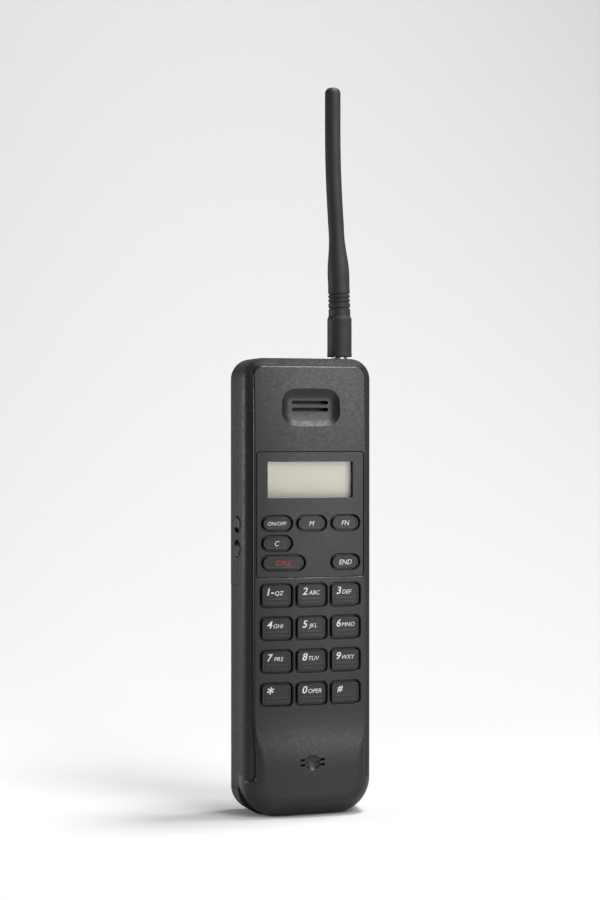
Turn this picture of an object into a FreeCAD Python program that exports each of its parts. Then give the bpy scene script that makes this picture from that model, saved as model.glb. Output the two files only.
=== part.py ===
import FreeCAD, Part
import math
import os

from FreeCAD import Vector

# A hand-held cellular phone that stands on its bottom end, with a flexible screw-in antenna.
# Sizes are in millimetres. The front faces -Y, the top is +Z, and the origin is the middle of the base.

# Casing
BODY_WIDTH = 55.2
BODY_HEIGHT = 188.0
FACE_CREST = 13.25
BACK_DEPTH = 13.25
TOP_CORNER = 8.5
FRONT_BASE_CORNER = 14.5
REAR_BASE_CORNER = 11.0
LEDGE_ROUND = 4.0
CHIN_ROUND = 8.8
BACK_ROUND = 3.4
WALL = 1.8
FACE_WALL = 2.2

# Front face: crowned from side to side, kicked forward at the chin, tilted back near the top.
# Its outer edge is rounded more at the chin, over the same height as the kick.
CROWN_RADIUS = 195.0
CHIN_KICK = 1.5
CHIN_TOP = 20.0
KICK_HEIGHT = 22.0
TILT_DROP = 33.0
TILT_RADIUS = 365.0

# Raised plateau on the face, with a ledge round its sides and top that ends above the chin.
# The plateau narrows a little towards the chin, in an S-curve.
LEDGE_DEPTH = 1.9
FACE_INSET = 3.4
FACE_CORNER = 4.0
FACE_EDGE_ROUND = 0.7
FACE_TAPER = 0.9
TAPER_BOTTOM = 21.0
TAPER_TOP = 45.0
RUN_OUT_TOP = 17.3
RUN_OUT_RADIUS = 1.8
FACE_MARGIN = 1.8
LEDGE_WALL = 2.35
CAVITY_FLOOR = 14.0
CAVITY_CORNER = 12.0
CHIN_POCKET_HALF = 17.0
CHIN_POCKET_FLOOR = 6.0
CHIN_POCKET_CORNER = 9.0

# Parting line between front and rear shells
PARTING = -0.7
SEAM = 0.3
TONGUE_GAP = 0.15
TONGUE_WALL = 1.2
TONGUE_LENGTH = 1.7
TONGUE_ROOT = 1.9
TONGUE_OVERLAP = 0.8
FLOOR_WALL = 1.5

# Battery bay and pack. A drop is a distance down from the casing's top or from the piece it is named for.
BAY_BOTTOM = 10.5
BAY_DROP = 93.5
PACK_GAP = 0.2
PACK_INSET = 0.08
PACK_WALL = 1.6
PACK_TOP_WALL = 3.3
LID_WALL = 1.2
LID_GAP = 0.1
CELL_RADIUS = 5.2
CELL_LENGTH = 44.4
CELL_PITCH = 10.6
PACK_CIRCUIT_SPACE = 12.0
CELL_CAP_RADIUS = 1.9
CELL_CAP_HEIGHT = 0.9
RIB_WALL = 1.2
STRAP_WALL = 0.25
STRAP_WIDTH = 5.0

# Number keys
KEY_COLUMNS = 3
KEY_ROWS = 4
COLUMN_PITCH = 14.84
ROW_PITCH = 13.45
TOP_ROW_DROP = 97.15
KEY_WIDTH = 11.8
KEY_HEIGHT = 7.8
KEY_CORNER = 1.2
KEY_GAP = 0.85
KEY_PROUD = 0.1
KEY_LIP = 0.35
KEY_DISH = 0.16
KEY_RIM = 0.7
KEY_EDGE = 0.3
RIB_LENGTH = 9.6
RIB_WIDTH = 0.7
RIB_HEIGHT = 0.3
RIB_DROPS = (1.6, 3.05)
KEY_TRAVEL = 0.6
KEY_CLEARANCE = 0.1
KEY_BACK = -9.0
OPENING_CHAMFER = 0.4

# Function keys: name, centre across, drop from the panel's top, width, all of one height
FUNCTION_HEIGHT = 4.8
FUNCTION_GAP = 0.85
FUNCTION_KEYS = (
    ("key_power", -14.6, 29.1, 11.4),
    ("key_memory", 0.1, 29.1, 11.4),
    ("key_function", 14.9, 29.1, 11.4),
    ("key_clear", -14.6, 37.2, 11.4),
    ("key_call", -11.85, 45.2, 16.9),
    ("key_end", 14.9, 45.2, 11.4),
)

# Control panel round the display
PANEL_HALF_WIDTH = 22.9
PANEL_DROP = 38.6
PANEL_TALL = 51.05
PANEL_CORNER = 1.2
PANEL_WALL = 1.0
PANEL_RECESS = 0.15
PANEL_GAP = 0.2
PANEL_CHAMFER = 0.3

# Display
WINDOW_LEFT = -18.5
WINDOW_RIGHT = 18.3
WINDOW_DROP = 3.9
WINDOW_TALL = 14.8
WINDOW_CORNER = 0.6
WINDOW_BORDER = 1.0
WINDOW_WALL = 0.9
GLASS_BORDER = 1.5
GLASS_WALL = 2.0
FRAME_BORDER = 2.3
FIT_GAP = 0.1

# Keypad mat and board
BOARD_WALL = 1.2
BOARD_HALF_WIDTH = 21.8
BOARD_MARGIN = 1.9
BOARD_RISE = 0.6
MAT_WALL = 1.0
MAT_MARGIN = 1.0
MAT_BOSS_INSET = 2.2
BOARD_FRONT = -6.6
POST_RADIUS = 1.2
POST_HOLE = 1.5
POST_RISE = 7.45

# Earpiece
EAR_DROP = 19.8
EAR_WIDTH = 27.4
EAR_TALL = 16.7
EAR_CORNER = 6.6
EAR_DEPTH = 2.0
EAR_SLOPE = 5.4
EAR_SLOT_LENGTH = 15.7
EAR_SLOT_WIDTH = 1.5
EAR_SLOT_PITCH = 2.85
EAR_PAD_BACK = -8.6
EAR_PAD_BORDER = 1.6
GASKET_WALL = 0.8
GASKET_WIDTH = 1.8
SPEAKER_RADIUS = 9.8
SPEAKER_DEPTH = 4.8
SPEAKER_MAGNET = 6.0

# Microphone
MIC_HEIGHT = 22.5
MIC_SLOT_LENGTH = 10.6
MIC_SLOT_WIDTH = 1.1
MIC_SLOT_PITCH = 2.05
MIC_SLOT_DEPTH = 1.15
MIC_BRIDGE_HALF = 3.1
MIC_DIMPLE_RADIUS = 3.3
MIC_DIMPLE_DEPTH = 1.3
MIC_CHAMBER_DEPTH = 0.5
MIC_PAD_RADIUS = 7.4
MIC_PAD_BACK = -11.9
BOOT_RADIUS = 6.2
BOOT_LENGTH = 4.0
MIC_RADIUS = 3.0
MIC_LENGTH = 3.2

# Side buttons: name, drop of the centre, height. Their length along Y is shared.
# Each is scooped out at the end that faces the other, so that a thumb tells them apart.
SCOOP_LENGTH = 2.5
SCOOP_DEPTH = 1.6
SIDE_CENTRE_Y = 0.6
SIDE_LENGTH = 8.6
SIDE_GAP = 0.3
SIDE_PROUD = 0.5
SIDE_LIP = 0.7
SIDE_FLANGE = 1.1
SIDE_STEM = 0.7
SIDE_TRAVEL = 0.5
SIDE_ROUND = 0.9
SIDE_BUTTONS = (
    ("volume_up_button", 68.4, 6.2),
    ("volume_down_button", 78.3, 6.4),
)

# Main board and what is on it
MAIN_BOARD_FRONT = 5.6
MAIN_BOARD_HALF_WIDTH = 23.4
MAIN_BOARD_GAP = 1.7
MAIN_BOARD_DROP = 4.0
BOARD_SCREW_MARGIN = 3.0
BOARD_SCREW_DROP = 28.0
BOARD_SCREW_SIDE = 20.4
SHIELD_HEIGHT = 4.4
SHIELD_WALL = 0.3
CHIP_HEIGHT = 1.6
RF_SHIELD = (-18.0, 11.5, 54.0, 32.0)
LOGIC_SHIELD = (-15.0, 16.0, 81.0, 58.0)
CHIPS = (
    (-17.0, 66.0, 12.0, 12.0),
    (-1.0, 68.0, 14.0, 10.0),
    (3.0, 52.0, 12.0, 8.0),
    (4.0, 38.0, 9.0, 9.0),
)
CONNECTOR = (18.8, 22.2, 77.0, 60.0)
TERMINALS = (-9.0, -3.0, 3.0, 9.0)
TERMINAL_DROP = 8.5
TERMINAL_RADIUS = 0.75
CHARGE_PLACES = (-5.0, 5.0)
CHARGE_RADIUS = 1.3
CHARGE_Y = 5.0
CHARGE_LENGTH = 6.5
CHARGE_RECESS = 0.3
RINGER_X = -10.0
RINGER_DROP = 38.0
RINGER_RADIUS = 6.5

# Screws
SCREW_RADIUS = 1.0
SCREW_HEAD_RADIUS = 1.9
SCREW_HEAD = 0.8
SCREW_CLEARANCE = 0.2
SCREW_BITE = 3.6
INSERT_RADIUS = 1.7
INSERT_GAP = 0.03
THREAD_GAP = 0.05
BOSS_RADIUS = 2.6
UPPER_SCREW_SIDE = 21.2
UPPER_SCREW_DROP = 23.0
UPPER_SCREW_SEAT = 9.2
LOWER_SCREW_SIDE = 19.0
LOWER_SCREW_DROP = 16.5
SMALL_SCREW_RADIUS = 0.7
SMALL_HEAD_RADIUS = 1.5

# Battery latch
LATCH_TRAVEL = 3.0
LATCH_HALF_WIDTH = 7.5
LATCH_RISE = 4.9
LATCH_TALL = 9.0
LATCH_PLATE = 1.0
LATCH_POCKET = 1.3
LATCH_POCKET_GAP = 0.8
LATCH_PAD_WALL = 3.0
LATCH_SHANK_HALF = 3.5
LATCH_SHANK_TALL = 3.0
LATCH_FOOT_FRONT = 8.0
LATCH_FOOT_DEPTH = 2.0
LATCH_BITE = 1.3
LATCH_GAP = 0.4
SPRING_RADIUS = 0.8
SPRING_WIRE = 0.18
SPRING_LENGTH = 6.5
SPRING_TURNS = 6

# Antenna
ANTENNA_X = 17.25
ANTENNA_Y = 1.75
SOCKET_RADIUS = 4.2
SOCKET_DEPTH = 10.0
COLLAR_RADIUS = 3.33
COLLAR_HEIGHT = 0.8
STUD_RADIUS = 2.6
STUD_GAP = 0.05
STUD_DEPTH = 8.5
STUD_REACH = 7.0
SLEEVE_GAP = 0.3
SLEEVE_LENGTH = 17.1
SLEEVE_FOOT_RADIUS = 5.2
SLEEVE_RADIUS = 5.1
WHIP_ROOT_RADIUS = 4.55
WHIP_ROOT_LENGTH = 10.8
GROOVE_RADIUS = 4.1
GROOVE_WIDTH = 0.95
GROOVE_RISES = (3.2, 5.7, 7.4, 9.05)
WHIP_RADIUS = 3.27
NECK_BOTTOM = 17.5
NECK_TOP = 33.5
SHAFT_BOTTOM = 41.0
WHIP_LENGTH = 91.4
CONDUCTOR_RADIUS = 0.9
CONDUCTOR_LENGTH = 86.0
CAP_LENGTH = 4.0
CAP_ROUND = 2.4
WHIP_BENDS = (
    (0.023, 0.023, 10.8),
    (0.023, 0.060, 18.2),
    (0.060, 0.060, 18.0),
    (0.060, 0.0, 30.0),
    (0.0, 0.0, 40.0),
)

# Worked-out places
HALF_WIDTH = BODY_WIDTH / 2
FACE_HALF = HALF_WIDTH - FACE_INSET
FACE_TOP = BODY_HEIGHT - FACE_INSET
CROWN_CENTRE = CROWN_RADIUS - FACE_CREST
REAR_FRONT = PARTING + SEAM
TONGUE_INSET = WALL + TONGUE_GAP
FLOOR_BACK = REAR_FRONT - 0.5
FLOOR_FRONT = FLOOR_BACK - FLOOR_WALL
BAY_TOP = BODY_HEIGHT - BAY_DROP
BAY_CEILING = BAY_TOP + WALL
TILT_START = BODY_HEIGHT - TILT_DROP
TOP_ROW = BODY_HEIGHT - TOP_ROW_DROP
BOTTOM_ROW = TOP_ROW - (KEY_ROWS - 1) * ROW_PITCH
PANEL_TOP = BODY_HEIGHT - PANEL_DROP
PANEL_BOTTOM = PANEL_TOP - PANEL_TALL
WINDOW_TOP = PANEL_TOP - WINDOW_DROP
WINDOW_BOTTOM = WINDOW_TOP - WINDOW_TALL
BOARD_BOTTOM = BOTTOM_ROW - KEY_HEIGHT / 2 - BOARD_MARGIN
BOARD_TOP = PANEL_TOP + BOARD_RISE
POST_HEIGHTS = (BOTTOM_ROW + ROW_PITCH / 2, TOP_ROW + POST_RISE)
EAR_HEIGHT = BODY_HEIGHT - EAR_DROP
MAIN_BOARD_BOTTOM = BAY_CEILING + MAIN_BOARD_GAP
MAIN_BOARD_TOP = BODY_HEIGHT - MAIN_BOARD_DROP
BOARD_SCREW_HEIGHTS = (MAIN_BOARD_BOTTOM + BOARD_SCREW_MARGIN, MAIN_BOARD_TOP - BOARD_SCREW_DROP)
UPPER_SCREW_HEIGHT = BODY_HEIGHT - UPPER_SCREW_DROP
LOWER_SCREW_HEIGHT = BOTTOM_ROW - LOWER_SCREW_DROP
LATCH_BOTTOM = BAY_TOP + LATCH_RISE
TERMINAL_HEIGHT = BAY_TOP - TERMINAL_DROP
RINGER_HEIGHT = MAIN_BOARD_TOP - RINGER_DROP
BACK_INNER = BACK_DEPTH - WALL
BOARD_BACK = BOARD_FRONT + BOARD_WALL
MAT_FRONT = BOARD_FRONT - MAT_WALL
MAIN_BOARD_BACK = MAIN_BOARD_FRONT + BOARD_WALL
SLEEVE_BOTTOM = BODY_HEIGHT + COLLAR_HEIGHT + SLEEVE_GAP
SLEEVE_TOP = SLEEVE_BOTTOM + SLEEVE_LENGTH
POST_SIDE = COLUMN_PITCH / 2
FAR = 60.0


def box(x0, x1, y0, y1, z0, z1):
    return Part.makeBox(x1 - x0, y1 - y0, z1 - z0, Vector(x0, y0, z0))


def rod(radius, x, z, y0, y1):
    """A round bar along Y."""
    return Part.makeCylinder(radius, y1 - y0, Vector(x, y0, z), Vector(0, 1, 0))


def post(radius, x, y, z0, z1):
    """A round bar along Z."""
    return Part.makeCylinder(radius, z1 - z0, Vector(x, y, z0), Vector(0, 0, 1))


def rounded_wire(x0, x1, z0, z1, y, top, bottom):
    """A rectangle across X and Z at depth y, with its top and bottom corners rounded."""
    corners = (
        (x1 - bottom, z0 + bottom, bottom, -90),
        (x1 - top, z1 - top, top, 0),
        (x0 + top, z1 - top, top, 90),
        (x0 + bottom, z0 + bottom, bottom, 180),
    )
    arcs = []
    for cx, cz, radius, start in corners:
        points = []
        for turn in (0, 45, 90):
            angle = math.radians(start + turn)
            points.append(Vector(cx + radius * math.cos(angle), y, cz + radius * math.sin(angle)))
        arcs.append(Part.Arc(*points))
    edges = []
    for index, arc in enumerate(arcs):
        edges.append(arc.toShape())
        following = arcs[(index + 1) % len(arcs)]
        if arc.EndPoint.distanceToPoint(following.StartPoint) > 1e-6:
            edges.append(Part.LineSegment(arc.EndPoint, following.StartPoint).toShape())
    return Part.Wire(edges)


def slab(x0, x1, z0, z1, y0, y1, top, bottom=None):
    """A plate with rounded corners, from depth y0 to depth y1."""
    bottom = top if bottom is None else bottom
    wire = rounded_wire(x0, x1, z0, z1, y0, top, bottom)
    return Part.Face(wire).extrude(Vector(0, y1 - y0, 0))


def pill(x, z, width, height, y0, y1):
    half = height / 2
    return slab(x - width / 2, x + width / 2, z - half, z + half, y0, y1, half * 0.999)


def body_slab(inset, y0, y1, base_corner):
    """The casing's outline, drawn in by an inset, as a plate from y0 to y1."""
    return slab(inset - HALF_WIDTH, HALF_WIDTH - inset, inset, BODY_HEIGHT - inset, y0, y1,
                TOP_CORNER - inset, base_corner - inset)


def front_slab(inset, y0, y1):
    return body_slab(inset, y0, y1, FRONT_BASE_CORNER)


def rear_slab(inset, y0, y1):
    return body_slab(inset, y0, y1, REAR_BASE_CORNER)


def above(shape, z):
    return shape.common(box(-FAR, FAR, -FAR, FAR, z, BODY_HEIGHT + FAR))


def below(shape, z):
    return shape.common(box(-FAR, FAR, -FAR, FAR, -FAR, z))


def fused(first, *others):
    return first.fuse(list(others)).removeSplitter()


def face_profile(offset):
    """The face's line down its middle, moved outwards by an offset, as edges from bottom to top."""
    bend = (KICK_HEIGHT ** 2 + CHIN_KICK ** 2) / (4 * CHIN_KICK)
    sweep = math.asin(KICK_HEIGHT / 2 / bend)
    rise = math.asin(min(1.0, (BODY_HEIGHT + 8 - TILT_START) / TILT_RADIUS))
    chin_y = -FACE_CREST - CHIN_KICK - offset
    kick_top = CHIN_TOP + KICK_HEIGHT

    def arc(centre_y, centre_z, radius, side, start, end):
        points = []
        for angle in (start, (start + end) / 2, end):
            points.append(Vector(0, centre_y - side * radius * math.cos(angle),
                                 centre_z + radius * math.sin(angle)))
        return Part.Arc(*points)

    lower = arc(-FACE_CREST - CHIN_KICK + bend, CHIN_TOP, bend + offset, 1, 0, sweep)
    upper = arc(-FACE_CREST - bend, kick_top, bend - offset, -1, -sweep, 0)
    tilt = arc(-FACE_CREST + TILT_RADIUS, TILT_START, TILT_RADIUS + offset, 1, 0, rise)
    foot = Part.LineSegment(Vector(0, chin_y, -8), lower.StartPoint)
    middle = Part.LineSegment(upper.EndPoint, tilt.StartPoint)
    return [foot, lower, upper, middle, tilt]


def barrel(offset):
    """All space behind the crowned face, moved outwards by an offset."""
    depth = 40.0
    half_angle = 12.0
    edges = [curve.toShape() for curve in face_profile(offset)]
    start = edges[0].Vertexes[0].Point
    end = edges[-1].Vertexes[-1].Point
    back_low = Vector(0, start.y + depth, start.z)
    back_high = Vector(0, start.y + depth, end.z)
    edges.append(Part.LineSegment(end, back_high).toShape())
    edges.append(Part.LineSegment(back_high, back_low).toShape())
    edges.append(Part.LineSegment(back_low, start).toShape())
    face = Part.Face(Part.Wire(edges))
    centre = Vector(0, CROWN_CENTRE, 0)
    up = Vector(0, 0, 1)
    face.rotate(centre, up, -half_angle)
    return face.revolve(centre, up, 2 * half_angle)


SPACES = {}


def behind_face(shape, offset):
    """The part of a shape that lies behind the face, moved outwards by an offset."""
    if offset not in SPACES:
        SPACES[offset] = barrel(offset)
    return shape.common(SPACES[offset])


def on_outline(edge, wire, y_limit):
    """Whether an edge runs along a wire, seen from the front, ahead of a depth."""
    for parameter in (0.1, 0.5, 0.9):
        first, last = edge.ParameterRange
        point = edge.valueAt(first + (last - first) * parameter)
        if point.y > y_limit:
            return False
        flat = Part.Vertex(Vector(point.x, wire.BoundBox.YMin, point.z))
        if flat.distToShape(wire)[0] > 2e-3:
            return False
    ends = [vertex.Point for vertex in edge.Vertexes]
    across = max(abs(ends[0].x - ends[-1].x), abs(ends[0].z - ends[-1].z))
    return across > 1e-4 or len(ends) == 1


def skin_radius(z):
    """The rounding of the skin's front edges at a height: large at the chin, then that of the ledge."""
    share = min(1.0, max(0.0, (z - CHIN_TOP) / KICK_HEIGHT))
    return CHIN_ROUND + (LEDGE_ROUND - CHIN_ROUND) * share


def outer_skin():
    """The crowned casing with its front edges rounded, before the ledge is cut."""
    blank = behind_face(front_slab(0, -FACE_CREST - CHIN_KICK - 3, PARTING), 0)
    wire = rounded_wire(-HALF_WIDTH, HALF_WIDTH, 0, BODY_HEIGHT, 0, TOP_CORNER, FRONT_BASE_CORNER)
    steady = []
    changing = []
    for index, edge in enumerate(blank.Edges):
        if on_outline(edge, wire, PARTING - 2):
            start = skin_radius(edge.lastVertex(True).Point.z)
            end = skin_radius(edge.firstVertex(True).Point.z)
            group = steady if abs(start - end) < 1e-6 else changing
            group.append((index + 1, start, end))
    document = FreeCAD.newDocument("rounding")
    base = document.addObject("Part::Feature", "base")
    base.Shape = blank
    rounding = document.addObject("Part::Fillet", "rounding")
    rounding.Base = base
    rounding.Edges = changing + steady
    document.recompute()
    return rounding.Shape


def ledge_skin():
    """The casing at the ledge's depth: crowned from side to side, but straight from bottom to top."""
    crown = post(CROWN_RADIUS, 0, CROWN_CENTRE + LEDGE_DEPTH, -FAR, BODY_HEIGHT + FAR)
    blank = front_slab(0, -FACE_CREST, PARTING).common(crown)
    wire = rounded_wire(-HALF_WIDTH, HALF_WIDTH, 0, BODY_HEIGHT, 0, TOP_CORNER, FRONT_BASE_CORNER)
    edges = [edge for edge in blank.Edges if on_outline(edge, wire, PARTING - 2)]
    return blank.makeFillet(LEDGE_ROUND, edges)


def plateau_outline(y):
    """The face plateau's outline: full width at the chin, then in by a small cove, and up."""
    side = FACE_HALF
    foot = FACE_HALF - FACE_TAPER
    wide = HALF_WIDTH + 2
    outer = foot + RUN_OUT_RADIUS
    low = RUN_OUT_TOP - RUN_OUT_RADIUS
    diagonal = RUN_OUT_RADIUS * math.sqrt(0.5)
    bow = FACE_CORNER * (1 - math.sqrt(0.5))
    rise = (TAPER_TOP - TAPER_BOTTOM) / 2
    bend = (4 * rise ** 2 + FACE_TAPER ** 2) / (4 * FACE_TAPER)
    half_turn = math.asin(rise / bend) / 2
    bulge = bend * (1 - math.cos(half_turn))
    climb = bend * math.sin(half_turn)
    middle = Vector((side + foot) / 2, y, TAPER_BOTTOM + rise)
    right = [
        Part.LineSegment(Vector(0, y, -2), Vector(wide, y, -2)),
        Part.LineSegment(Vector(wide, y, -2), Vector(wide, y, low)),
        Part.LineSegment(Vector(wide, y, low), Vector(outer, y, low)),
        Part.Arc(Vector(outer, y, low), Vector(outer - diagonal, y, RUN_OUT_TOP - diagonal),
                 Vector(foot, y, RUN_OUT_TOP)),
        Part.LineSegment(Vector(foot, y, RUN_OUT_TOP), Vector(foot, y, TAPER_BOTTOM)),
        Part.Arc(Vector(foot, y, TAPER_BOTTOM), Vector(foot + bulge, y, TAPER_BOTTOM + climb), middle),
        Part.Arc(middle, Vector(side - bulge, y, TAPER_TOP - climb), Vector(side, y, TAPER_TOP)),
        Part.LineSegment(Vector(side, y, TAPER_TOP), Vector(side, y, FACE_TOP - FACE_CORNER)),
        Part.Arc(Vector(side, y, FACE_TOP - FACE_CORNER), Vector(side - bow, y, FACE_TOP - bow),
                 Vector(side - FACE_CORNER, y, FACE_TOP)),
        Part.LineSegment(Vector(side - FACE_CORNER, y, FACE_TOP), Vector(0, y, FACE_TOP)),
    ]
    half = Part.Wire([curve.toShape() for curve in right])
    mirror = half.mirror(Vector(0, 0, 0), Vector(1, 0, 0))
    return Part.Wire(half.Edges + mirror.Edges)


def front_shell():
    """The front housing's outside and its cavity, with no openings yet."""
    skin = outer_skin()
    front = -FACE_CREST - CHIN_KICK - 2
    plateau = Part.Face(plateau_outline(front)).extrude(Vector(0, PARTING - front, 0))
    face = round_plateau(skin.common(plateau))
    shell = fused(face, ledge_skin().common(skin))
    ledge_inner = -FACE_CREST + LEDGE_DEPTH + LEDGE_ROUND + LEDGE_WALL
    deep = front_slab(WALL, ledge_inner, PARTING + 1)
    half = FACE_HALF - FACE_MARGIN
    shallow = slab(-half, half, CAVITY_FLOOR, FACE_TOP - FACE_MARGIN, front, ledge_inner + 1,
                   FACE_CORNER - FACE_MARGIN, CAVITY_CORNER)
    pocket = slab(-CHIN_POCKET_HALF, CHIN_POCKET_HALF, CHIN_POCKET_FLOOR, CAVITY_FLOOR + CAVITY_CORNER,
                  front, ledge_inner + 1, 1, CHIN_POCKET_CORNER)
    return shell.cut(deep).cut(behind_face(fused(shallow, pocket), -FACE_WALL))


def round_plateau(face):
    """Rounds the plateau's front rim along its sides and top."""
    wire = plateau_outline(0)
    rim = []
    for edge in face.Edges:
        lowest = min(vertex.Point.z for vertex in edge.Vertexes)
        if lowest > RUN_OUT_TOP - 1e-3 and on_outline(edge, wire, -FACE_CREST + 6):
            rim.append(edge)
    return face.makeFillet(FACE_EDGE_ROUND, rim)


def number_key_places():
    """Names and centres of the twelve number keys, row by row from the top."""
    names = ("1", "2", "3", "4", "5", "6", "7", "8", "9", "star", "0", "hash")
    places = []
    for index, name in enumerate(names):
        column = index % KEY_COLUMNS - (KEY_COLUMNS - 1) / 2
        row = index // KEY_COLUMNS
        places.append(("key_" + name, column * COLUMN_PITCH, TOP_ROW - row * ROW_PITCH))
    return places


def number_opening(x, z, y0, y1):
    half_width = KEY_WIDTH / 2 + KEY_GAP
    half_height = KEY_HEIGHT / 2 + KEY_GAP
    return slab(x - half_width, x + half_width, z - half_height, z + half_height, y0, y1,
                KEY_CORNER + KEY_GAP)


def function_key_places():
    """Name, centre across, centre up and width of each function key."""
    return [(name, x, PANEL_TOP - drop, width) for name, x, drop, width in FUNCTION_KEYS]


def side_button_places():
    """Name, centre up and height of each side button."""
    return [(name, BODY_HEIGHT - drop, height) for name, drop, height in SIDE_BUTTONS]


def function_opening(place, y0, y1, extra=0.0):
    name, x, z, width = place
    grow = 2 * (FUNCTION_GAP + extra)
    return pill(x, z, width + grow, FUNCTION_HEIGHT + grow, y0, y1)


def ear_dish():
    """A smooth bowl with a crisp rim, as a cutter."""
    wires = []
    steps = 4
    for step in range(steps + 1):
        share = step / steps
        inset = EAR_SLOPE * share
        depth = EAR_DEPTH * math.sin(share * math.pi / 2)
        half_width = EAR_WIDTH / 2 - inset
        half_height = EAR_TALL / 2 - inset
        wires.append(rounded_wire(-half_width, half_width, EAR_HEIGHT - half_height,
                                  EAR_HEIGHT + half_height, -FACE_CREST + depth,
                                  EAR_CORNER - inset, EAR_CORNER - inset))
    bowl = Part.makeLoft(wires, True, False)
    mouth = slab(-EAR_WIDTH / 2, EAR_WIDTH / 2, EAR_HEIGHT - EAR_TALL / 2, EAR_HEIGHT + EAR_TALL / 2,
                 -FACE_CREST - 3, -FACE_CREST, EAR_CORNER)
    return bowl.fuse(mouth)


def ear_slots(y0, y1):
    slots = []
    for side in (-0.5, 0.5):
        z = EAR_HEIGHT + side * EAR_SLOT_PITCH + 0.1
        slots.append(pill(0, z, EAR_SLOT_LENGTH, EAR_SLOT_WIDTH, y0, y1))
    return slots


def mic_openings(front):
    """Two slots that go right through at their ends, a dimple between them and a chamber behind."""
    bridge = box(-MIC_BRIDGE_HALF, MIC_BRIDGE_HALF, -FACE_CREST - CHIN_KICK + MIC_SLOT_DEPTH, 0,
                 MIC_HEIGHT - MIC_PAD_RADIUS, MIC_HEIGHT + MIC_PAD_RADIUS)
    cutters = []
    for side in (-0.5, 0.5):
        z = MIC_HEIGHT + side * MIC_SLOT_PITCH
        slot = pill(0, z, MIC_SLOT_LENGTH, MIC_SLOT_WIDTH, front, MIC_PAD_BACK + 1)
        cutters.append(slot.cut(bridge))
    height = MIC_SLOT_PITCH + MIC_SLOT_WIDTH
    cutters.append(pill(0, MIC_HEIGHT, MIC_SLOT_LENGTH + 0.2, height, MIC_PAD_BACK - MIC_CHAMBER_DEPTH,
                        MIC_PAD_BACK + 1))
    depth = MIC_DIMPLE_DEPTH
    radius = (MIC_DIMPLE_RADIUS ** 2 + depth ** 2) / (2 * depth)
    centre_y = -FACE_CREST - CHIN_KICK + depth - radius
    cutters.append(Part.makeSphere(radius, Vector(0, centre_y, MIC_HEIGHT)))
    return cutters


def side_opening(z, height, x0, x1, grow):
    """A pill-shaped hole through the left wall, at the parting line."""
    half = height / 2 + grow
    length = SIDE_LENGTH + 2 * grow
    flat = pill(0, 0, length, 2 * half, 0, x1 - x0)
    flat.rotate(Vector(0, 0, 0), Vector(0, 0, 1), 90)
    flat.translate(Vector(x1, SIDE_CENTRE_Y, z))
    return flat


def panel_slab(grow, y0, y1):
    half = PANEL_HALF_WIDTH + grow
    return slab(-half, half, PANEL_BOTTOM - grow, PANEL_TOP + grow, y0, y1, PANEL_CORNER + grow)


def window_slab(grow, y0, y1):
    return slab(WINDOW_LEFT - grow, WINDOW_RIGHT + grow, WINDOW_BOTTOM - grow, WINDOW_TOP + grow,
                y0, y1, WINDOW_CORNER + grow / 2)


def chamfered(shape, wires, distance, y_limit):
    """Breaks the front edges of openings that follow the given wires."""
    chosen = []
    for edge in shape.Edges:
        for wire in wires:
            if wire.BoundBox.XMin - 0.1 > edge.BoundBox.XMin or wire.BoundBox.XMax + 0.1 < edge.BoundBox.XMax:
                continue
            if on_outline(edge, wire, y_limit):
                chosen.append(edge)
                break
    return shape.makeChamfer(distance, chosen)


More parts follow.
